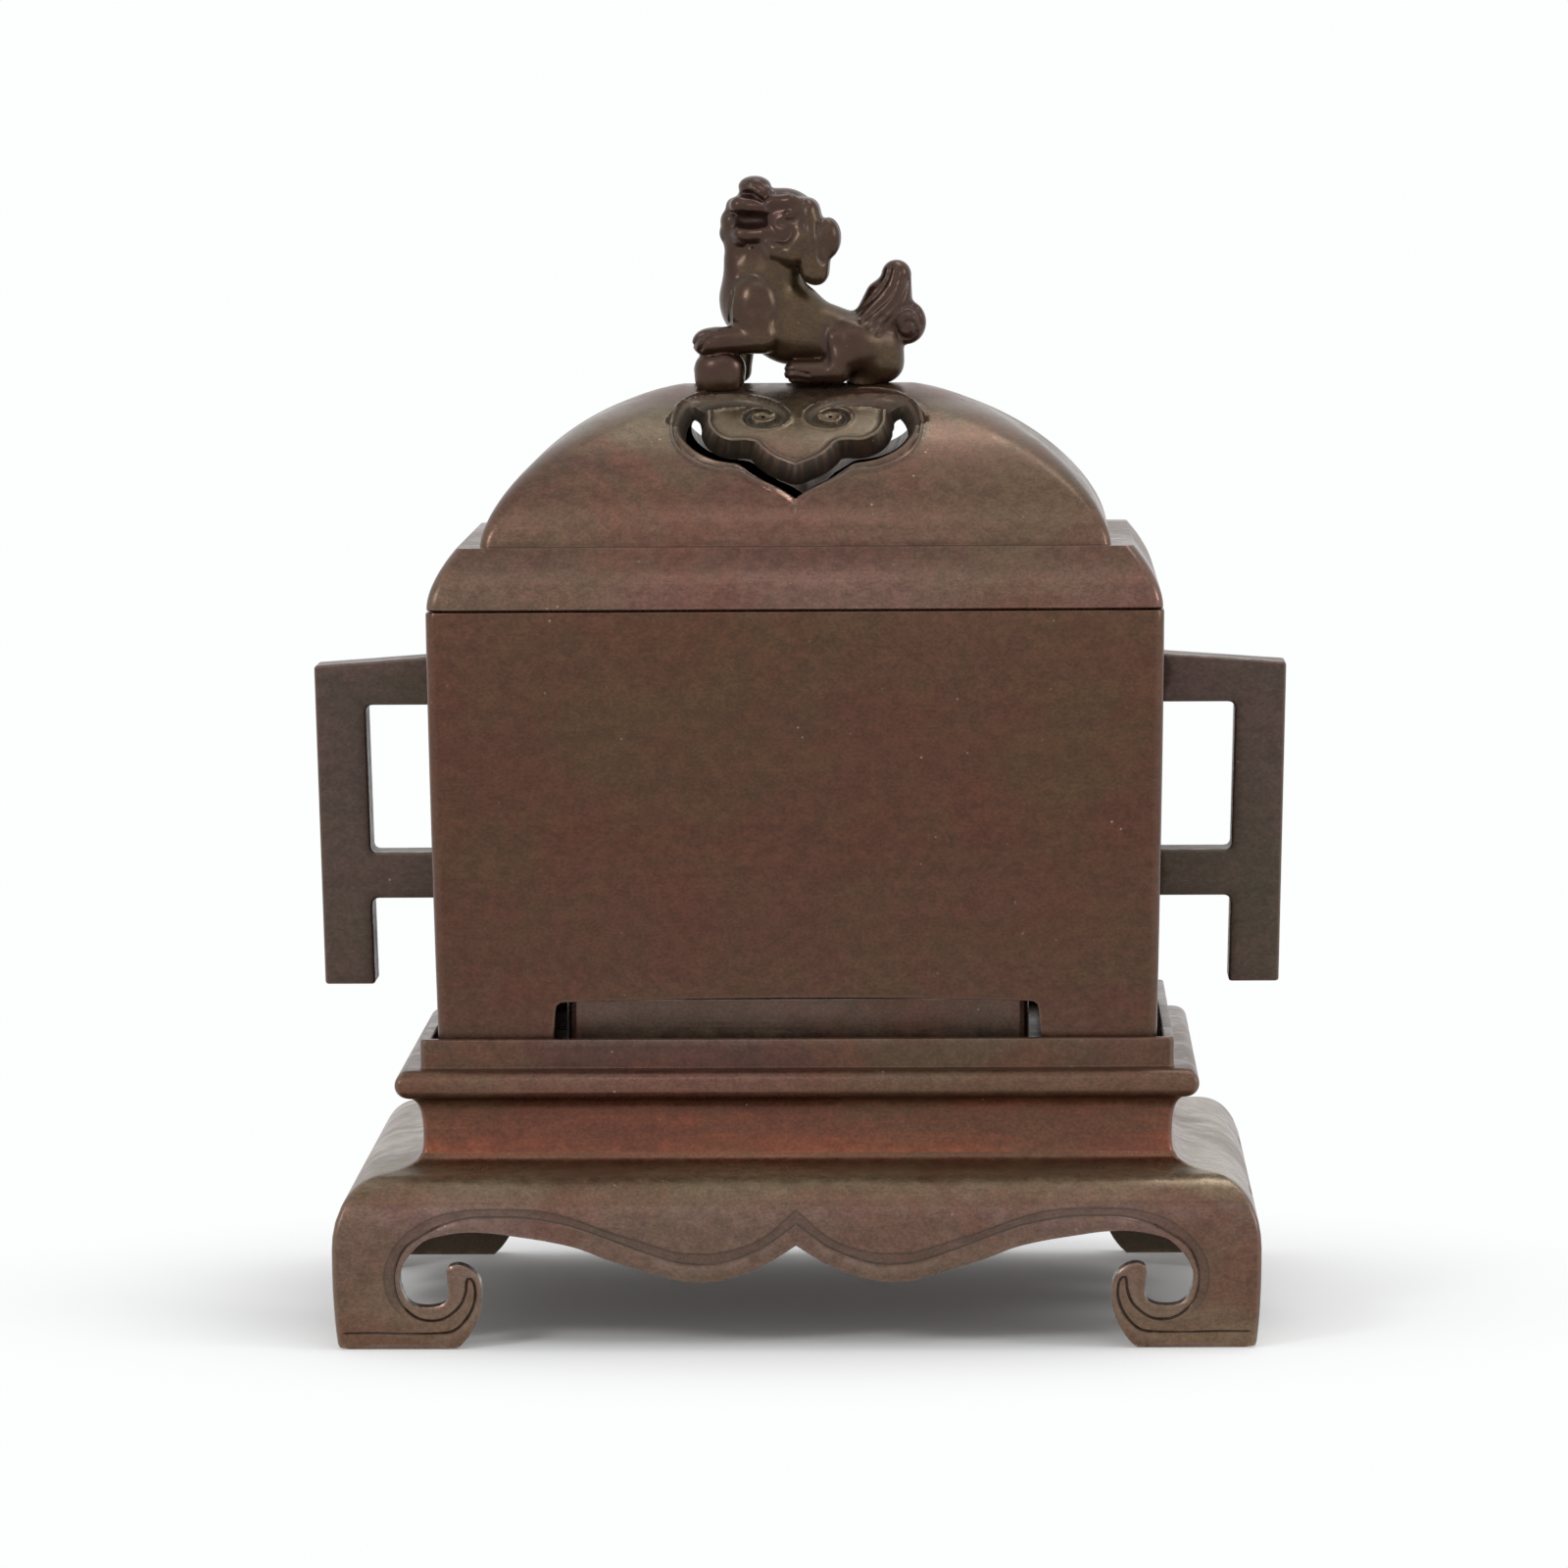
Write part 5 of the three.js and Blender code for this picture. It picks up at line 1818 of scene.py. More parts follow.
@dataclass
class LidCasting:
    """The lid: a swelling band, a ledge, and a dome pierced at the front and back by a cloud head.

    The cloud head is drawn in a plane that leans back with the dome: across, and up along the lean.
    """

    half: float = 78.8
    bottom: float = 156.4
    ledge_half: float = 72.6
    ledge: float = 169.5
    inner_half: float = 74.7
    collar_top: float = 163.0
    boss_radius: float = 4.4
    boss_bottom: float = 194.5
    bosses: Curve = ((-17.3, -5.2), (14.0, 0.0))
    outer: DomeSkin = field(default_factory=lambda: DomeSkin(67.9, 169.5, 33.3, 2.4))
    inner: DomeSkin = field(default_factory=lambda: DomeSkin(64.525, 166.35, 31.95, 2.4))
    keep: float = 28.0
    rows: int = 34
    columns: int = 57
    steps: int = 6
    hole: Curve = (
        (0, -9.4), (2.9, -7.1), (5.4, -5.6), (8.7, -3.5), (11.2, -1.3), (12.6, -0.1), (14.9, 0.4),
        (17.8, 1.3), (20.7, 3.1), (22.9, 5.4), (24.6, 8.4), (25.5, 11.8), (25.5, 16.2), (24.6, 20),
        (23.2, 22.6), (21.4, 22.4), (19.9, 20.3), (19.3, 16.9), (19.2, 13.9), (17.9, 10.4), (15.8, 8.4),
        (13.8, 7.6), (10.9, 7.7), (8.8, 7), (7.6, 5.1), (5.5, 2.7), (3.4, 1.2), (0, -0.6),
    )
    lip: Curve = (
        (0, -13.6), (1.6, -12.4), (2.9, -10.9), (4.5, -8.6), (7, -6.3), (9.5, -4.8), (12, -2.9),
        (13.6, -2.2), (16.5, -2.1), (19.8, -0.9), (22.3, 0.6), (24.7, 2.8), (26.5, 5.9), (27.4, 9.8),
        (27.6, 14.7), (27, 19.3), (25.3, 23.6), (22.9, 27), (20.1, 29.5), (16.4, 30.6), (12.3, 30.2),
        (9.5, 29.3),
    )
    channel: Curve = (
        (25, 15.6), (23.1, 19.4), (20.4, 21.9), (16.4, 23.4), (11.8, 23.2), (7.9, 22), (4.9, 20),
        (3.1, 17.4), (3.6, 14.7), (5.9, 13.1), (8.7, 13.1), (10.5, 14.8), (10.6, 17.1), (9.2, 18.7),
        (7.2, 18.8), (5.8, 17.7),
    )
    channel_at: tuple[float, ...] = (0, 9, 17, 22, 27, 33, 39, 47)
    channel_wide: tuple[float, ...] = (3.3, 3.4, 2.7, 2, 1.55, 1.3, 1, 0.6)
    channel_deep: tuple[float, ...] = (2.4, 2.2, 2, 1.8, 1.6, 1.4, 1.2, 0.9)
    taper: float = 1.5
    taper_reach: float = 4.5
    end_fade: float = 1.6
    spiral_eye: tuple[float, float] = (7.3, 16.3)
    eye_radius: float = 0.5
    lobe_end: tuple[float, float] = (22.4, 22.6)
    lip_insets: tuple[float, ...] = (0.0, 0.3, 0.6, 1.0)
    hole_insets: tuple[float, ...] = (-0.25, -0.55, -1.0, -1.5)
    coarse_step: float = 2.6
    fine_step: float = 0.62
    fine_low: tuple[float, float] = (-29.5, -16.5)
    fine_high: tuple[float, float] = (29.5, 32)
    scroll_step: float = 0.36
    scroll_low: tuple[float, float] = (1, 10.6)
    scroll_high: tuple[float, float] = (13.4, 21.4)
    # Painted shade on the inner dome and on the cloud head's walls.
    inner_painted_shade: float = 0.9
    wall_painted_shade: float = 0.75
    end_columns: int = 25
    band_round: float = 2.2
    inner_round: float = 2.0
    chamfer: float = 0.3

    def edges(self) -> dict[str, Array]:
        """The right halves of the drawn lines, and the eye of the spiral.

        Returns:
            The lines by name.
        """
        angle = np.radians(np.linspace(0, 360, 11)[:-1])
        round_it = np.column_stack([np.cos(angle), np.sin(angle)])
        return {
            "hole": spline(self.hole, 0.7),
            "lip": spline(self.lip, 0.8),
            "channel": spline(self.channel, 0.7),
            "eye": self.spiral_eye + self.eye_radius * round_it,
        }

    def relief(self, points: Array, lines: dict[str, Array]) -> tuple[Array, Array, Array]:
        """How far each place stands out along the lean, how much painted shade and patina and how much wear
        and painted highlight it gets.

        The lip is a platform with a thin ridge along each edge. The plate has a ridge along its rim and
        a hairline within it. The channel is a trough whose depth and width shrink towards its eye, with a
        thin ridge along it. Ridges are bell curves of the distance to a line.

        Args:
            points: places across and up the lean.
            lines: the drawn lines.

        Returns:
            The lift, how much painted shade and patina, and how much wear and painted highlight.
        """

        def bell(distance: Array, at: float | Array, width: float) -> Array:
            """A bell curve."""
            return np.exp(-(((distance - at) / width) ** 2))

        folded = np.column_stack([np.abs(points[:, 0]), points[:, 1]])
        hole = Nearness.of(folded, lines["hole"])
        lip = Nearness.of(folded, lines["lip"])
        run = Nearness.of(folded, lines["channel"])
        turn = Nearness.of(np.array([self.lobe_end]), lines["hole"]).station[0]
        over = inside(points, [mirrored(lines["lip"])])
        outer_side = np.clip((turn + 1 - hole.station) / 3, 0, 1)
        plate = np.clip((hole.station - turn - 1) / 2, 0, 1)
        fade = np.clip((folded[:, 0] - 9) / 5 + (folded[:, 1] < 20), 0, 1)
        wide = np.interp(run.station, self.channel_at, self.channel_wide)
        deep = np.interp(run.station, self.channel_at, self.channel_deep)
        trough = np.clip(1 - (run.distance / wide) ** 2, 0, 1) ** 0.8
        platform = over * outer_side * np.clip((4.8 - lip.distance - hole.distance) / 1.2, 0, 1)
        outer_ridge = bell(lip.distance, 0.5, 0.34) * over * np.clip(lip.distance / 0.25, 0, 1) * fade
        inner_ridge = bell(hole.distance, 0.6, 0.45) * outer_side
        valley = bell(lip.distance, 1.25, 0.3) * over * outer_side * fade
        rim = bell(hole.distance, 0.5, 0.45) * plate
        hair = bell(hole.distance, 1.5, 0.34) * plate * (1 - trough)
        bank = bell(run.distance - wide, 0.3, 0.4) * np.clip((run.station - 1) / 4, 0, 1)
        thread = bell(run.distance, 0.42 * wide, 0.2) * run.left * np.clip((run.station - 4) / 4, 0, 1)
        thread = thread * np.clip((30 - run.station) / 6, 0, 1)
        lift = 0.3 * platform * np.clip(lip.distance / 0.6, 0, 1) * fade
        lift += 0.4 * outer_ridge + 0.45 * inner_ridge - 0.25 * valley
        lift += 0.45 * rim * (1 - trough) - 0.12 * hair
        lift = lift * (1 - 0.6 * trough) + 0.35 * bank - deep * trough + 0.5 * thread
        keel = bell(folded[:, 0], 0, 0.7) * np.clip((points[:, 1] + 16.5) / 4, 0, 1)
        keel = keel * np.clip((-9.6 - points[:, 1]) / 1.2, 0, 1)
        lift += 0.3 * keel
        outside_line = bell(lip.distance, 0.15, 0.3) * (1 - over) * fade
        wear_and_highlight = 0.4 * outer_ridge + 0.3 * inner_ridge + 0.2 * keel + 0.4 * rim + 0.3 * bank
        wear_and_highlight = wear_and_highlight * (1 - trough) + 0.25 * thread
        # Painted shade and patina in the trough, the valley, the hairline and just outside the lip; wear and
        # a painted highlight on ridges, banks and the keel.
        shade_and_patina = trough * np.interp(run.station, (0, 12, 24, 44), (0.8, 0.6, 0.6, 0.9))
        shade_and_patina = np.maximum(shade_and_patina, np.maximum(0.45 * hair, np.maximum(0.5 * valley, 0.4 * outside_line)))
        return lift, np.clip(shade_and_patina - 0.3 * thread, 0, 1), np.clip(wear_and_highlight, 0, 1)

    def slot_taper(self, points: Array, hole: Array) -> Array:
        """How the inner skin closes in on the slot: along the outline's normal, less away from it.

        At the tip of the slot it closes in by a quarter of that.

        Args:
            points: places across and up the lean.
            hole: the slot's outline.

        Returns:
            How far each place moves.
        """
        folded = np.column_stack([np.abs(points[:, 0]), points[:, 1]])
        near = Nearness.of(folded, hole)
        way = read(offset(hole, 1.0) - hole, lengths(hole), near.station)
        way[:, 0] *= np.sign(points[:, 0])
        share = np.clip(1 - near.distance / self.taper_reach, 0, 1)
        share = share * np.clip((near.station - 6) / 4, 0.25, 1)
        return way * (self.taper * share)[:, None]

    def front(self, levels: Array) -> Sheet:
        """The sheet of the dome's front, across and up along the lean, pierced by the cloud head.

        Args:
            levels: the table of the outer skin.

        Returns:
            The sheet.
        """
        place = levels[:, 3]
        end = levels[:, 0] - levels[:, 2]
        share = np.linspace(-1, 1, self.columns)
        loop = np.vstack([
            np.column_stack([share * end[0], np.full(self.columns, place[0])]),
            np.column_stack([end, place])[1:],
            np.column_stack([share * end[-1], np.full(self.columns, place[-1])])[::-1][1:],
            np.column_stack([-end, place])[::-1][1:-1],
        ])
        lines = self.edges()
        half_hole = lines["hole"]
        hole = np.vstack([half_hole, (half_hole * [-1, 1])[::-1][1:-1]])
        eye = lines["eye"]
        loops = [loop, hole, eye, (eye * [-1, 1])[::-1]]
        channel = lines["channel"]
        station = np.linspace(0, self.channel_at[-1], len(channel))
        wide = np.interp(station, self.channel_at, self.channel_wide)
        halves = [offset(lines["lip"], shift) for shift in self.lip_insets]
        halves += [offset(half_hole, shift) for shift in self.hole_insets]
        halves += [channel, offset(channel, wide), offset(channel, -wide)]
        guides = []
        for line in halves:
            clear = line[(line[:, 0] > 0.35) & (line[:, 0] < np.interp(line[:, 1], place, end) - 0.5)]
            guides += [clear, clear * [-1, 1]]
        coarse = lattice((-70, place[0]), (70, place[-1]), self.coarse_step)
        fine = lattice(self.fine_low, self.fine_high, self.fine_step)
        scroll = lattice(self.scroll_low, self.scroll_high, self.scroll_step)
        coarse = coarse[outside_box(coarse, self.fine_low, self.fine_high, (0.5, 0, 0.5))]
        folded = np.column_stack([np.abs(fine[:, 0]), fine[:, 1]])
        fine = fine[outside_box(folded, self.scroll_low, self.scroll_high, (0.1, 0.1, 0.1))]
        return Sheet.cut(loops, guides, [coarse, fine, scroll, scroll * [-1, 1]], 0.22)

    def to_inner(self, place: Array) -> Array:
        """The place on the inner skin that a place on the outer one goes straight in to."""
        low, high = self.outer.levels(2)[[0, -1], 3]
        deep_low, deep_high = self.inner.levels(2)[[0, -1], 3]
        return np.interp(place, (low, -15, 24, high), (deep_low, -15, 24, deep_high))

    def skins(self, sheet: Sheet) -> tuple[Array, Array, Array, Array]:
        """The front's sheet laid on the outer and on the inner dome.

        Args:
            sheet: the sheet of the front.

        Returns:
            The outer points, the inner points, and how much painted shade and patina and how much wear and
            painted highlight the outer ones get.
        """
        x, place = sheet.points.T
        lift, shade_and_patina, wear_and_highlight = self.relief(sheet.points, self.edges())
        out = self.outer.at(place)
        limit = out[:, 0] - out[:, 2]
        clear = np.clip((limit - np.abs(x)) / self.end_fade, 0, 1)
        lift *= clear**2 * (3 - 2 * clear)
        shift = self.slot_taper(sheet.points, self.edges()["hole"]) * clear[:, None]
        under = self.inner.at(self.to_inner(place + shift[:, 1]))
        deep_limit = under[:, 0] - under[:, 2]
        keep = np.minimum(self.keep, deep_limit - 0.5)
        x_in = drawn_in(x, keep, limit, deep_limit) + shift[:, 0]
        lean = math.sqrt(0.5)
        top = np.column_stack([x, -(out[:, 0] - MITRE) - lift * lean, out[:, 1] + lift * lean])
        bottom = np.column_stack([x_in, -(under[:, 0] - MITRE), under[:, 1]])
        return top, bottom, shade_and_patina, wear_and_highlight

    def build(self, dresser: Dresser) -> None:
        """Makes the lid.

        Args:
            dresser: gives the finish.
        """
        spread = self.outer.levels(600)
        reach = lengths(spread[:, :2])
        levels = read(spread, reach, np.linspace(0, reach[-1], self.rows))
        deep = self.inner.at(self.to_inner(levels[:, 3]))
        sheet = self.front(levels)
        top, bottom, shade_and_patina, wear_and_highlight = self.skins(sheet)
        middles = sheet.points[sheet.border].mean(1)
        middles[:, 0] = np.abs(middles[:, 0])
        to_cut = [Nearness.of(middles, self.edges()[name]).distance for name in ("hole", "eye")]
        cut = sheet.border[np.minimum(*to_cut) < 0.4]
        shell = Shell()
        for turn in (1, -1):
            spin = np.array([turn, turn, 1])
            shell.add(top * spin, sheet.triangles, shade_and_patina, wear_and_highlight)
            # The inner dome and the slot's walls get painted shade.
            shell.add(bottom * spin, sheet.triangles, np.full(len(bottom), self.inner_painted_shade))
            shell.ribbon(top * spin, bottom * spin, cut, self.wall_painted_shade)
            shell.grid(self.end_rows(levels) * spin)
            shell.grid(self.end_rows(deep) * spin)
        columns = Columns.even(self.columns, self.end_columns)
        for table in (levels, deep):
            half, z, corner, _ = table[-1]
            shell.lid(ring(Level(half, z, corner), columns, self.steps))
        band_wear_and_highlight = corner_wear_and_highlight(columns, self.steps)
        shell.grid(self.band(levels[0], deep[0], columns), closed=True, worn=band_wear_and_highlight)
        for at in self.bosses:
            self.boss(shell, at)
        piece = shell.build("lid_casting", crease=38, weld=0.001)
        dresser.settle(piece, Finish.LID, "lid", "lid_dome")

    def end_rows(self, levels: Array) -> Array:
        """The right end of the dome with its two corners, a row to a level.

        Args:
            levels: the table of a skin.

        Returns:
            The points, rows by columns by three.
        """
        half, z, corner, _ = (column[:, None] for column in levels.T)
        angle = np.radians(np.linspace(0, 90, self.steps + 1))[None]
        across = np.linspace(-1, 1, self.end_columns)[None]
        depth = half - MITRE
        near_x = half - corner + corner * np.sin(angle)
        near_y = -(depth - corner) - corner * np.cos(angle)
        side_y = across * (depth - corner)
        x = np.hstack([near_x, np.broadcast_to(half, side_y.shape)[:, 1:-1], near_x[:, ::-1]])
        y = np.hstack([near_y, side_y[:, 1:-1], -near_y[:, ::-1]])
        return np.stack([x, y, np.broadcast_to(z, x.shape)], -1)

    def band(self, foot: Array, deep: Array, columns: Columns) -> Array:
        """The rings from the foot of the dome over the ledge, down the band and up to the inner dome.

        Args:
            foot: the lowest level of the outer dome.
            deep: the lowest level of the inner dome.
            columns: where the points of a level stand.

        Returns:
            The points, rings by columns by three.
        """
        edge, low, base = self.chamfer, self.bottom, self.ledge_half
        profile = Stroke(base, self.ledge - 0.02)
        knots = [(base + 3, self.ledge - 3.5), (self.half, low + 4.6), (self.half, low + edge)]
        profile.curve(knots, 16)
        inner, step = self.inner_half, self.inner_half - 2.3
        section = [
            (float(foot[0]), self.ledge, float(foot[2]), False),
            (base - 0.5, self.ledge, self.band_round, False),
            *((half, z, self.band_round, False) for half, z in profile.points().tolist()),
            (self.half - edge, low, self.band_round, False),
            (inner + edge, low, self.inner_round, False),
            (inner, low + edge, self.inner_round, False),
            (inner, self.collar_top, self.inner_round, False),
            (step, self.collar_top, self.inner_round, False),
            (step, self.collar_top + 1.75, self.inner_round, True),
            (float(deep[0]), float(deep[1]), float(deep[2]), True),
        ]
        limit, deep_limit = foot[0] - foot[2], deep[0] - deep[2]
        wide_in = drawn_in(columns.wide * limit, self.keep, limit, deep_limit) / deep_limit
        rows = []
        for half, z, corner, is_deep in section:
            wide = wide_in if is_deep else columns.wide
            rows.append(ring(Level(half, z, corner), Columns(wide, columns.narrow), self.steps))
        return np.stack(rows)

    def boss(self, shell: Shell, at: tuple[float, float]) -> None:
        """A round boss under the crown: its section turned about an upright line.

        Args:
            shell: the mesh to add to.
            at: the middle line's place.
        """
        radius, low = self.boss_radius, self.boss_bottom
        edge = self.chamfer
        section = np.array([(radius - edge, low), (radius, low + edge), (radius, low + 6)])
        angle = np.radians(np.linspace(0, 360, 25)[:-1])
        x = at[0] + section[:, :1] * np.cos(angle)
        y = at[1] + section[:, :1] * np.sin(angle)
        rows = np.stack([x, y, np.broadcast_to(section[:, 1:], x.shape)], -1)
        shell.grid(rows, closed=True)
        shell.lid(rows[0])
        shell.lid(rows[-1])


# Lion.


@dataclass(frozen=True)
class Egg:
    """A soft form: its middle, its three half sizes, how softly it joins, and whether it has a twin."""

    at: Triple
    size: Triple
    soft: float = 1.4
    twin: bool = False

    def box(self) -> tuple[Array, Array]:
        """The corners of a box that holds the form."""
        return np.array(self.at) - self.size, np.array(self.at) + self.size

    def distance(self, p: Array) -> Array:
        """About how far points are outside: the scaled length times itself less one, over its gradient.

        Args:
            p: the points.

        Returns:
            The distances.
        """
        scaled = (p - np.array(self.at)) / np.array(self.size)
        length = np.sqrt((scaled**2).sum(-1))
        slope = np.sqrt(((scaled / np.array(self.size)) ** 2).sum(-1))
        return length * (length - 1) / np.maximum(slope, 1e-6)


@dataclass(frozen=True)
class Limb:
    """A soft form between two round ends of different size."""

    start: Triple
    first: float
    stop: Triple
    second: float
    soft: float = 1.4
    twin: bool = False

    def box(self) -> tuple[Array, Array]:
        """The corners of a box that holds the form."""
        ends, radii = np.array([self.start, self.stop]), np.array([[self.first], [self.second]])
        return (ends - radii).min(0), (ends + radii).max(0)

    def distance(self, p: Array) -> Array:
        """How far points are from the nearest place of the middle line, less the radius there.

        Args:
            p: the points.

        Returns:
            The distances.
        """
        start, run = np.array(self.start), np.array(self.stop) - np.array(self.start)
        share = np.clip(((p - start) @ run) / (run @ run), 0, 1)
        away = p - start - share[..., None] * run
        return np.sqrt((away**2).sum(-1)) - (self.first + share * (self.second - self.first))


@dataclass(frozen=True)
class Furrow:
    """A line drawn on the side view and cut into both sides, or raised where its depth is negative.

    It acts where the lion is at least as far from its middle plane as the start, so that a line on the
    head's side doesn't cut its top.
    """

    line: Curve
    width: float
    depth: float
    start: float = 0.0
    # How dark the furrow is painted: painted shade with patina.
    dark: float = 0.7
    far: bool = True


def soft_union(first: Array, second: Array, soft: float) -> Array:
    """The lesser of two distances, with a quadratic blend where they are about the same."""
    share = np.clip(0.5 + 0.5 * (second - first) / soft, 0, 1)
    return second + (first - second) * share - soft * share * (1 - share)


def without_diagonals(values: Array) -> Array:
    """The field with no square of the grid whose corners are inside and outside by turns.

    The surface would touch itself there. The outside corners of such a square are filled.

    Args:
        values: the field, negative inside.

    Returns:
        The mended field.
    """
    filled = values.copy()
    for _ in range(5):
        for axes in ((0, 1), (0, 2), (1, 2)):
            v = np.moveaxis(filled, axes, (0, 1))
            a, b, c, d = v[:-1, :-1], v[1:, :-1], v[:-1, 1:], v[1:, 1:]
            turns = ((a < 0) == (d < 0)) & ((b < 0) == (c < 0)) & ((a < 0) != (b < 0))
            for corner in (a, b, c, d):
                corner[turns & (corner >= 0)] = -0.02
    return filled


def net(values: Array, low: Array, step: float) -> tuple[Array, Array]:
    """The surface where a field on a grid is zero, by the surface nets method.

    A point stands in every cell whose corners differ in sign, at the mean of the places where the cell's
    edges cross zero. Every grid edge that crosses gives one four-sided face round it.

    Args:
        values: the field, negative inside.
        low: where the grid starts.
        step: its spacing.

    Returns:
        The points and the faces.
    """
    sign = values < 0
    corners = [(i, j, k) for i in (0, 1) for j in (0, 1) for k in (0, 1)]
    nx, ny, nz = (size - 1 for size in values.shape)

    def part(field_values: Array, corner: tuple[int, int, int]) -> Array:
        """The field at one corner of every cell."""
        i, j, k = corner
        return field_values[i : i + nx, j : j + ny, k : k + nz]

    filled = sum(part(sign, corner).astype(np.int8) for corner in corners)
    mixed = (filled > 0) & (filled < 8)
    cells = np.argwhere(mixed)
    index = np.full(mixed.shape, -1)
    index[mixed] = np.arange(len(cells))
    total = np.zeros((len(cells), 3))
    count = np.zeros(len(cells))
    for first in corners:
        for axis in range(3):
            if first[axis]:
                continue
            second = tuple(1 if k == axis else first[k] for k in range(3))
            a, b = part(values, first)[mixed], part(values, second)[mixed]
            crossed = (a < 0) != (b < 0)
            share = np.where(crossed, a / np.where(crossed, a - b, 1), 0)
            place = np.array(first, float)[None] + share[:, None] * np.eye(3)[axis]
            total += place * crossed[:, None]
            count += crossed
    points = low + (cells + total / count[:, None]) * step
    faces = []
    for axis in range(3):
        u, v = (axis + 1) % 3, (axis + 2) % 3
        edges = np.argwhere(np.diff(sign, axis=axis))
        edges = edges[((edges > 0) & (edges < mixed.shape))[:, [u, v]].all(1)]
        shift_u, shift_v = np.eye(3, dtype=int)[u], np.eye(3, dtype=int)[v]
        ring_cells = [edges, edges - shift_u, edges - shift_u - shift_v, edges - shift_v]
        quad = np.stack([index[tuple(cell.T)] for cell in ring_cells], -1)
        flip = sign[tuple(edges.T)]
        faces.append(np.where(flip[:, None], quad, quad[:, ::-1]))
    return points, np.vstack(faces)


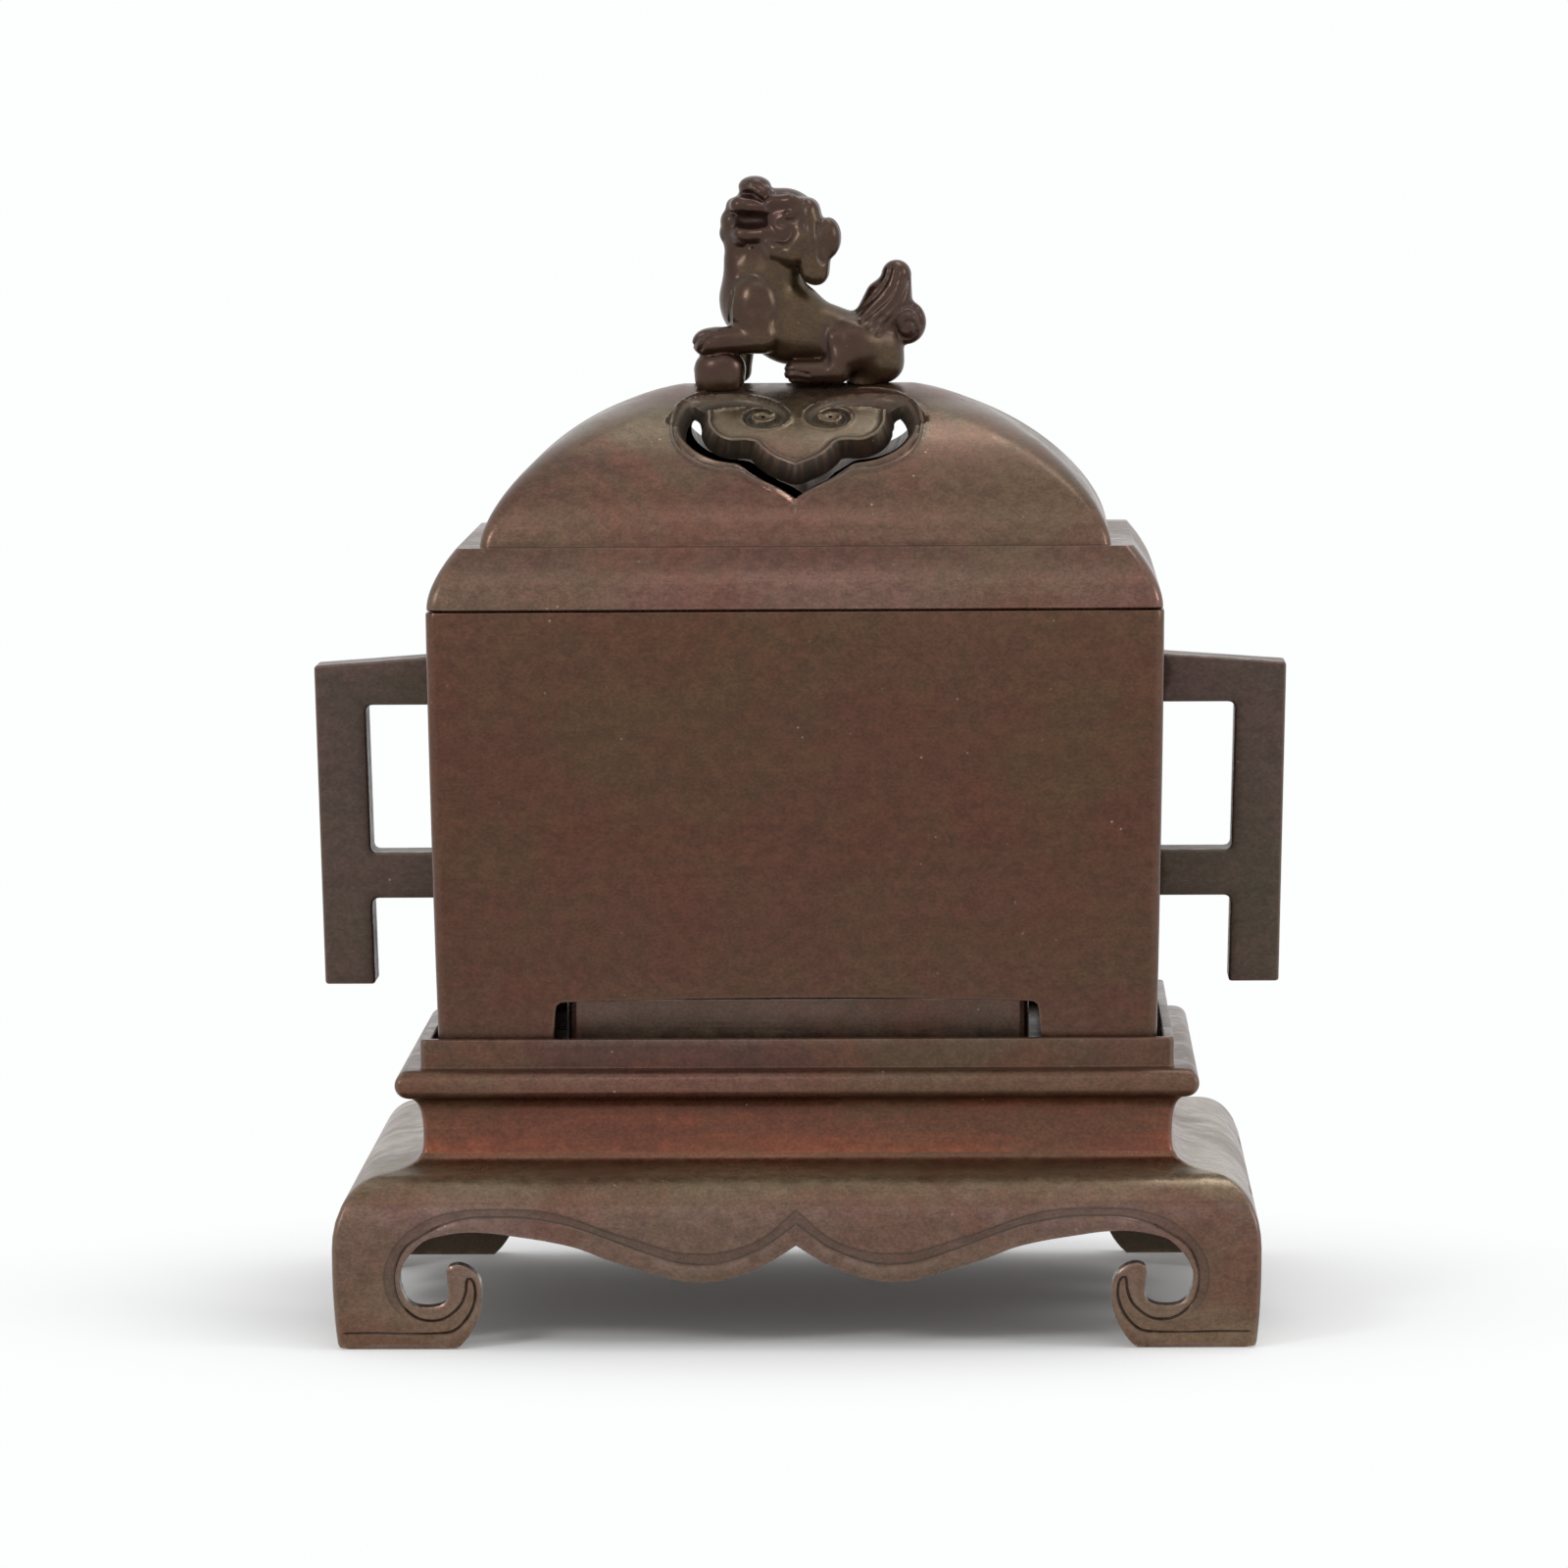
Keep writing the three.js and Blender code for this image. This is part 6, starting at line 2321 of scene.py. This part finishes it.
@dataclass
class Lion:
    """The lion on the crown, its paw on a ball. Its forms are placed from the top of the crown."""

    crown: float = 202.8
    step: float = 0.36
    polish_fade: float = 6.0
    low: Triple = (-24.6, -10.5, -3.0)
    high: Triple = (29.0, 10.5, 46.4)
    dome: DomeSkin = field(default_factory=lambda: DomeSkin(67.9, 169.5, 33.3, 2.4))
    seat: float = 0.05
    forms: tuple[Egg | Limb, ...] = (
        Limb((-4.8, 0, 14.1), 7.2, (12.2, 0, 8.2), 6.6, 3),
        Egg((-8.8, 0, 17.4), (8.2, 7.2, 8.6), 3),
        Egg((-1.3, 0, 10.5), (8, 6, 6.6), 3),
        Egg((-2.2, 0, 16.4), (7.2, 6, 6), 2.5),
        Limb((-8.6, 0, 17.6), 7, (-5, 0, 26.6), 7, 2.5),
        Limb((-12.4, 0, 19.6), 4, (-12.6, 0, 27), 3.6, 2),
        Egg((-1.8, 0, 33.4), (7.2, 7.4, 8.7), 2),
        Limb((-3.8, 0, 37.4), 4.8, (-9.4, 0, 38.7), 4.4, 1.8),
        Egg((-9.3, 0, 42.8), (3.6, 4.1, 2.4), 0.6),
        Egg((-7.6, 3.2, 41.4), (2.3, 1.7, 1.9), 0.6, True),
        Limb((-13.8, 0, 38.6), 1.6, (-12.6, 3.8, 38.8), 1.8, 1, True),
        Limb((-12.6, 3.8, 38.8), 1.8, (-7, 5.2, 38.4), 1.6, 1, True),
        Egg((-14.4, 0, 35.2), (2.5, 3.6, 3), 1),
        Limb((-4.8, 0, 31), 4.6, (-12.4, 0, 31.4), 4, 1.5),
        Limb((-15, 0, 32.6), 1.8, (-12, 3.8, 32.4), 2, 1, True),
        Limb((-12, 3.8, 32.4), 2, (-7.4, 5.2, 32.6), 1.7, 1, True),
        Limb((-7, 5, 32.6), 1.7, (-4.6, 6, 29.4), 2.1, 1, True),
        Limb((-4.6, 6, 29), 2.1, (-1.2, 6.2, 28.4), 2.5, 1.2, True),
        Limb((-1.2, 6.2, 28.4), 2.5, (1, 6, 32), 2.3, 1.2, True),
        Egg((-1.6, 6.2, 36.7), (1.5, 1.3, 1.2), 0.3, True),
        Limb((-5.2, 5, 39.6), 1.4, (-1.4, 5.4, 39.6), 1.5, 1, True),
        Limb((-1.4, 5.4, 39.6), 1.5, (1.6, 5.6, 36.6), 1.4, 1, True),
        Limb((2, 4.4, 37.4), 3, (3.4, 5, 31), 3.2, 1.6, True),
        Limb((3.4, 5, 31), 3.2, (3.4, 5.4, 24.6), 2.9, 1.2, True),
        Limb((4.6, 5.2, 28), 2.6, (4.4, 5.4, 23.8), 2.3, 1.4, True),
        Egg((6.7, 5, 31.5), (2.8, 2.6, 4.4), 0.9, True),
        Egg((-9.6, 4.9, 16.2), (4.9, 3.7, 6.8), 1.4, True),
        Egg((11.8, 4.4, 8), (5.8, 3.9, 5.8), 1.4, True),
        Limb((7.8, 5.9, 9.5), 1.6, (8.4, 6.2, 4), 2, 1.5, True),
        Limb((9.4, 5.5, 5.2), 3.1, (8.8, 5.6, 2.8), 2.7, 1.4, True),
        Limb((8.4, 5.7, 2.5), 2.6, (-0.5, 5.8, 2.5), 2.6, 1.2, True),
        Egg((17.2, 0, 7.4), (6, 5.7, 7.1), 2.5),
        Egg((17.6, 0, 3.6), (5.3, 5, 4), 2),
        Limb((14, 0, -1), 3.7, (14.6, 0, 3), 3.9, 1.5),
        Limb((15.8, 0, 12), 4.4, (18.2, 0, 18.7), 3.5, 1.8),
        Limb((20.4, 0, 15.2), 4.9, (21.6, 0, 23.4), 3.3, 1.5),
        Egg((23.6, 0, 13), (4.5, 3.8, 4.9), 0.9),
        Limb((-8.8, -5.2, 13.6), 3.7, (-7.6, -5.4, 10.4), 3.4, 1.4),
        Limb((-7.8, -5.4, 9.8), 3.3, (-17, -5, 9.2), 3.1, 1.2),
        Egg((-18.9, -4.9, 8.9), (4.2, 3.9, 3.3), 0.9),
        Limb((-12, 5, 13.6), 3.3, (-12.9, 5.2, 2.4), 2.4, 1.2),
        Limb((-13, 5.2, 2.2), 2.3, (-20.4, 5.2, 2.6), 2.7, 0.8),
    )
    ball: Egg = Egg((-17, -4.6, 3.5), (5.6, 4.3, 4.1), 0.15)
    foot: Limb = Limb((-18.9, -4.8, 0.8), 3.6, (-15.3, -4.8, 0.8), 3.6, 1.5)
    polished: tuple[Egg, ...] = (
        Egg((-6, 0, 36), (11, 10, 11)),
        Egg((6.8, 5, 31.4), (3.4, 3.2, 5), 0, True),
        Egg((-9.6, 5.6, 16.5), (5.4, 4.4, 7), 0, True),
        Egg((-14.5, 0, 22), (3.4, 7, 10)),
        Egg((-17, -5, 7), (8, 6, 7)),
        Egg((10.4, 6, 7.4), (5.4, 4, 6.4), 0, True),
        Egg((3, 6, 2), (7.5, 4.4, 3.6), 0, True),
        Egg((21.5, 0, 17), (7.6, 6, 10)),
    )
    mouth: tuple[Egg, ...] = (
        Egg((-10.4, 5.6, 35.6), (3.9, 3.6, 1.7), 0.5, True),
    )
    furrows: tuple[Furrow, ...] = (
        # The mouth: barely cut, painted fully dark as its shade.
        Furrow(((-13.4, 35.8), (-11, 35.5), (-8, 35.5)), 1.25, 0.02, 1.6, 1.0),
        Furrow(((-6.6, 31.8), (-4.6, 31.2), (-2.6, 31), (-1.4, 32.4), (-1.8, 34.4), (-3.6, 34.8)),
               0.7, 0.4, 4.4, 0.3),
        Furrow(((1.6, 39.4), (1.4, 36.4), (1.6, 33.4)), 0.6, 0.4, 3.5, 0.4),
        Furrow(((4.6, 34.6), (4.6, 31), (4.8, 27.6), (5.6, 26.4)), 0.45, 0.45, 3.5, 0.5),
        Furrow(((-11.6, 44), (-10.4, 43.2), (-8.6, 43.3), (-7, 42.4)), 0.35, 0.25, 0.8, 0.5),
        Furrow(((-11.6, 41.3), (-9.6, 41.2), (-7.8, 39.9), (-6.4, 38.2)), 0.5, 0.5, 1.2, 0.6),
        Furrow(((-15.4, 36.9), (-13.6, 37.2), (-11.6, 37.3)), 0.35, 0.3, 0.5),
        Furrow(((-16.4, 31.6), (-14.2, 31.8), (-12, 31), (-10, 30)), 0.4, 0.35, 0.6, 0.5),
        Furrow(((-2.9, 35.6), (-1.6, 35.3), (-0.2, 35.8), (0.1, 37)), 0.35, 0.3, 4.6, 0.5),
        Furrow(((-14, 20.4), (-14.6, 17), (-14.7, 13.6)), 0.26, 0.4, 0.0, 0.5),
        Furrow(((-13.4, 20.6), (-14, 17), (-14.1, 13.6)), 0.22, -0.2, 0.0, 0.0),
        Furrow(((-12.6, 23), (-9.2, 23.6), (-5.8, 21.2), (-4.5, 17.4), (-5, 14)), 0.9, 0.3, 3.5, 0.25),
        Furrow(((-22.6, 8.4), (-21.4, 10.2), (-19.6, 11)), 0.32, 0.5, 1.0, far=False),
        Furrow(((-21.2, 7.4), (-19.8, 9.4), (-18, 10.2)), 0.32, 0.5, 1.0, far=False),
        Furrow(((-2.8, 2.6), (-0.6, 2.7), (2.4, 2)), 0.32, 0.45, 3.0),
        Furrow(((-2.2, 0.9), (0.2, 1.1), (2.4, 0.7)), 0.3, 0.4, 3.0),
        Furrow(((6, 12), (6.2, 9), (6.9, 5.8), (6.2, 3.8)), 0.8, 0.3, 3.5, 0.4),
        Furrow(((12.8, 15), (15.6, 17.4), (18, 19.8), (19.8, 22.6), (20.6, 25.4)), 0.4, 0.42, 0.6, 0.6),
        Furrow(((14, 13.2), (17, 15.8), (19.6, 18.2), (21.4, 21), (22.2, 24.4)), 0.4, 0.42, 0.6, 0.6),
        Furrow(((15.6, 11.8), (18.4, 14.4), (21, 16.8), (23, 19.4), (24, 22.4)), 0.4, 0.42, 0.6, 0.6),
        Furrow(((17.4, 10.6), (19.4, 13), (21.6, 15.4), (24, 16.7), (26.4, 15.6)), 0.4, 0.42, 0.6, 0.6),
        Furrow(((26.9, 12.4), (25.8, 14.9), (23.4, 15.1), (21.6, 13.2), (22, 10.6), (24.2, 9.6), (25.8, 11),
                (25.3, 13), (23.8, 13.1), (23.5, 11.8)), 0.4, 0.42, 0.6, 0.6),
    )

    def field_values(self) -> tuple[Array, Array, Array, Array]:
        """The distance field of the whole lion on a grid.

        Returns:
            The field, the three axes, and how dark the furrows are painted, seen from the side: painted
            shade with patina.
        """
        x, y, z = (np.arange(a, b, self.step, dtype=np.float32) for a, b in zip(self.low, self.high))
        p = np.stack(np.meshgrid(x, y, z, indexing="ij"), -1)
        value = np.full(p.shape[:3], 50.0, np.float32)

        def near(form: Egg | Limb, flip: bool) -> tuple[slice, ...]:
            """The part of the grid that a form, or its twin, can change.

            Args:
                form: the form.
                flip: whether its twin is meant.

            Returns:
                The slices.
            """
            low, high = form.box()
            if flip:
                low[1], high[1] = -high[1], -low[1]
            margin = form.soft + 1.5
            first = np.floor((low - margin - self.low) / self.step).astype(int)
            last = np.ceil((high + margin - self.low) / self.step).astype(int)
            return tuple(slice(max(a, 0), max(b, 0)) for a, b in zip(first, last))

        for form, sign in [(form, 1) for form in self.forms] + [(form, -1) for form in self.mouth]:
            for flip in (False, True)[: 2 if form.twin else 1]:
                part = near(form, flip)
                spot = p[part] * (np.array([1, -1, 1], np.float32) if flip else 1)
                value[part] = sign * soft_union(sign * value[part], form.distance(spot), form.soft)
        flat = np.stack(np.meshgrid(x, z, indexing="ij"), -1).reshape(-1, 2)
        depth = np.zeros((len(x), len(z)))
        for furrow in self.furrows:
            gap = Nearness.of(flat, spline(furrow.line, 0.4)).distance.reshape(len(x), len(z))
            cut = np.exp(-((gap / furrow.width) ** 2))
            size = np.clip((np.abs(y) - furrow.start) / 1.2, 0, 1) * (1.0 if furrow.far else (y < 0))
            value += (furrow.depth * cut[:, None, :] * size[None, :, None]).astype(np.float32)
            depth = np.maximum(depth, cut * furrow.dark)
        ball = soft_union(self.ball.distance(p), self.foot.distance(p), self.foot.soft)
        value = np.minimum(value, ball)
        reach = np.maximum(np.abs(p[..., 0]), np.abs(p[..., 1]) + MITRE)
        table = self.dome.levels(400)
        floor = np.interp(reach, table[::-1, 0], table[::-1, 1]) - self.crown + self.seat
        return np.maximum(value, (floor - p[..., 2]) * 0.9), x, z, depth

    def build(self, dresser: Dresser) -> None:
        """Makes the lion from the zero level of its field.

        Args:
            dresser: gives the finish.
        """
        value, x, z, depth = self.field_values()
        points, faces = net(without_diagonals(value), np.array(self.low), self.step)
        column = np.clip(((points[:, 0] - x[0]) / self.step).round().astype(int), 0, len(x) - 1)
        row = np.clip(((points[:, 2] - z[0]) / self.step).round().astype(int), 0, len(z) - 1)
        # The furrows get painted shade and patina.
        shade_and_patina = np.clip(depth[column, row], 0, 1)
        polish = np.zeros(len(points))
        for spot in self.polished:
            for side in (1, -1)[: 2 if spot.twin else 1]:
                away = spot.distance(points * [1, side, 1])
                polish = np.maximum(polish, np.clip(0.5 - away / self.polish_fade, 0, 1))
        shell = Shell()
        shell.add(points + [0, 0, self.crown], faces, shade_and_patina, polish)
        piece = shell.build("lion_casting", crease=75, weld=0.001)
        dresser.settle(piece, Finish.LION, "lid", "lion_finial")


# The object.


@dataclass
class PlainPieces:
    """The solids that keep their shape and only get a finish."""

    finishes: dict[str, Finish] = field(
        default_factory=lambda: {
            "stand_frame": Finish.STAND,
            "seat_plate": Finish.STAND,
            "vessel_body": Finish.BOX,
            "vessel_floor": Finish.BOX,
            "handle_": Finish.HANDLE,
            "handle_screw": Finish.BRASS,
            "handle_washer": Finish.BRASS,
            "ash_liner": Finish.COPPER,
            "lid_dome": Finish.LID,
            "lid_collar": Finish.LID,
            "lion_finial": Finish.LION,
            "finial_screw": Finish.BRASS,
            "finial_washer": Finish.BRASS,
        }
    )

    def build(self, dresser: Dresser) -> None:
        """Dresses every solid by the longest entry that its name starts with.

        Args:
            dresser: gives the finishes.
        """
        for name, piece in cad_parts.items():
            label = max((entry for entry in self.finishes if name.startswith(entry)), key=len)
            dresser.dress(piece, self.finishes[label])
            LOG.info("%s: %s", name, self.finishes[label].value.name)


def main() -> None:
    """Builds the surroundings and every sub-assembly."""
    logging.basicConfig(level=logging.INFO, format="%(message)s")
    Surroundings().build()
    dresser = Dresser()
    PlainPieces().build(dresser)
    StandCasting().build(dresser)
    VesselBox().build(dresser)
    for side in (Side.LEFT, Side.RIGHT):
        Handle().build(side, dresser)
    LidCasting().build(dresser)
    Lion().build(dresser)


if __name__ == "__main__":
    main()
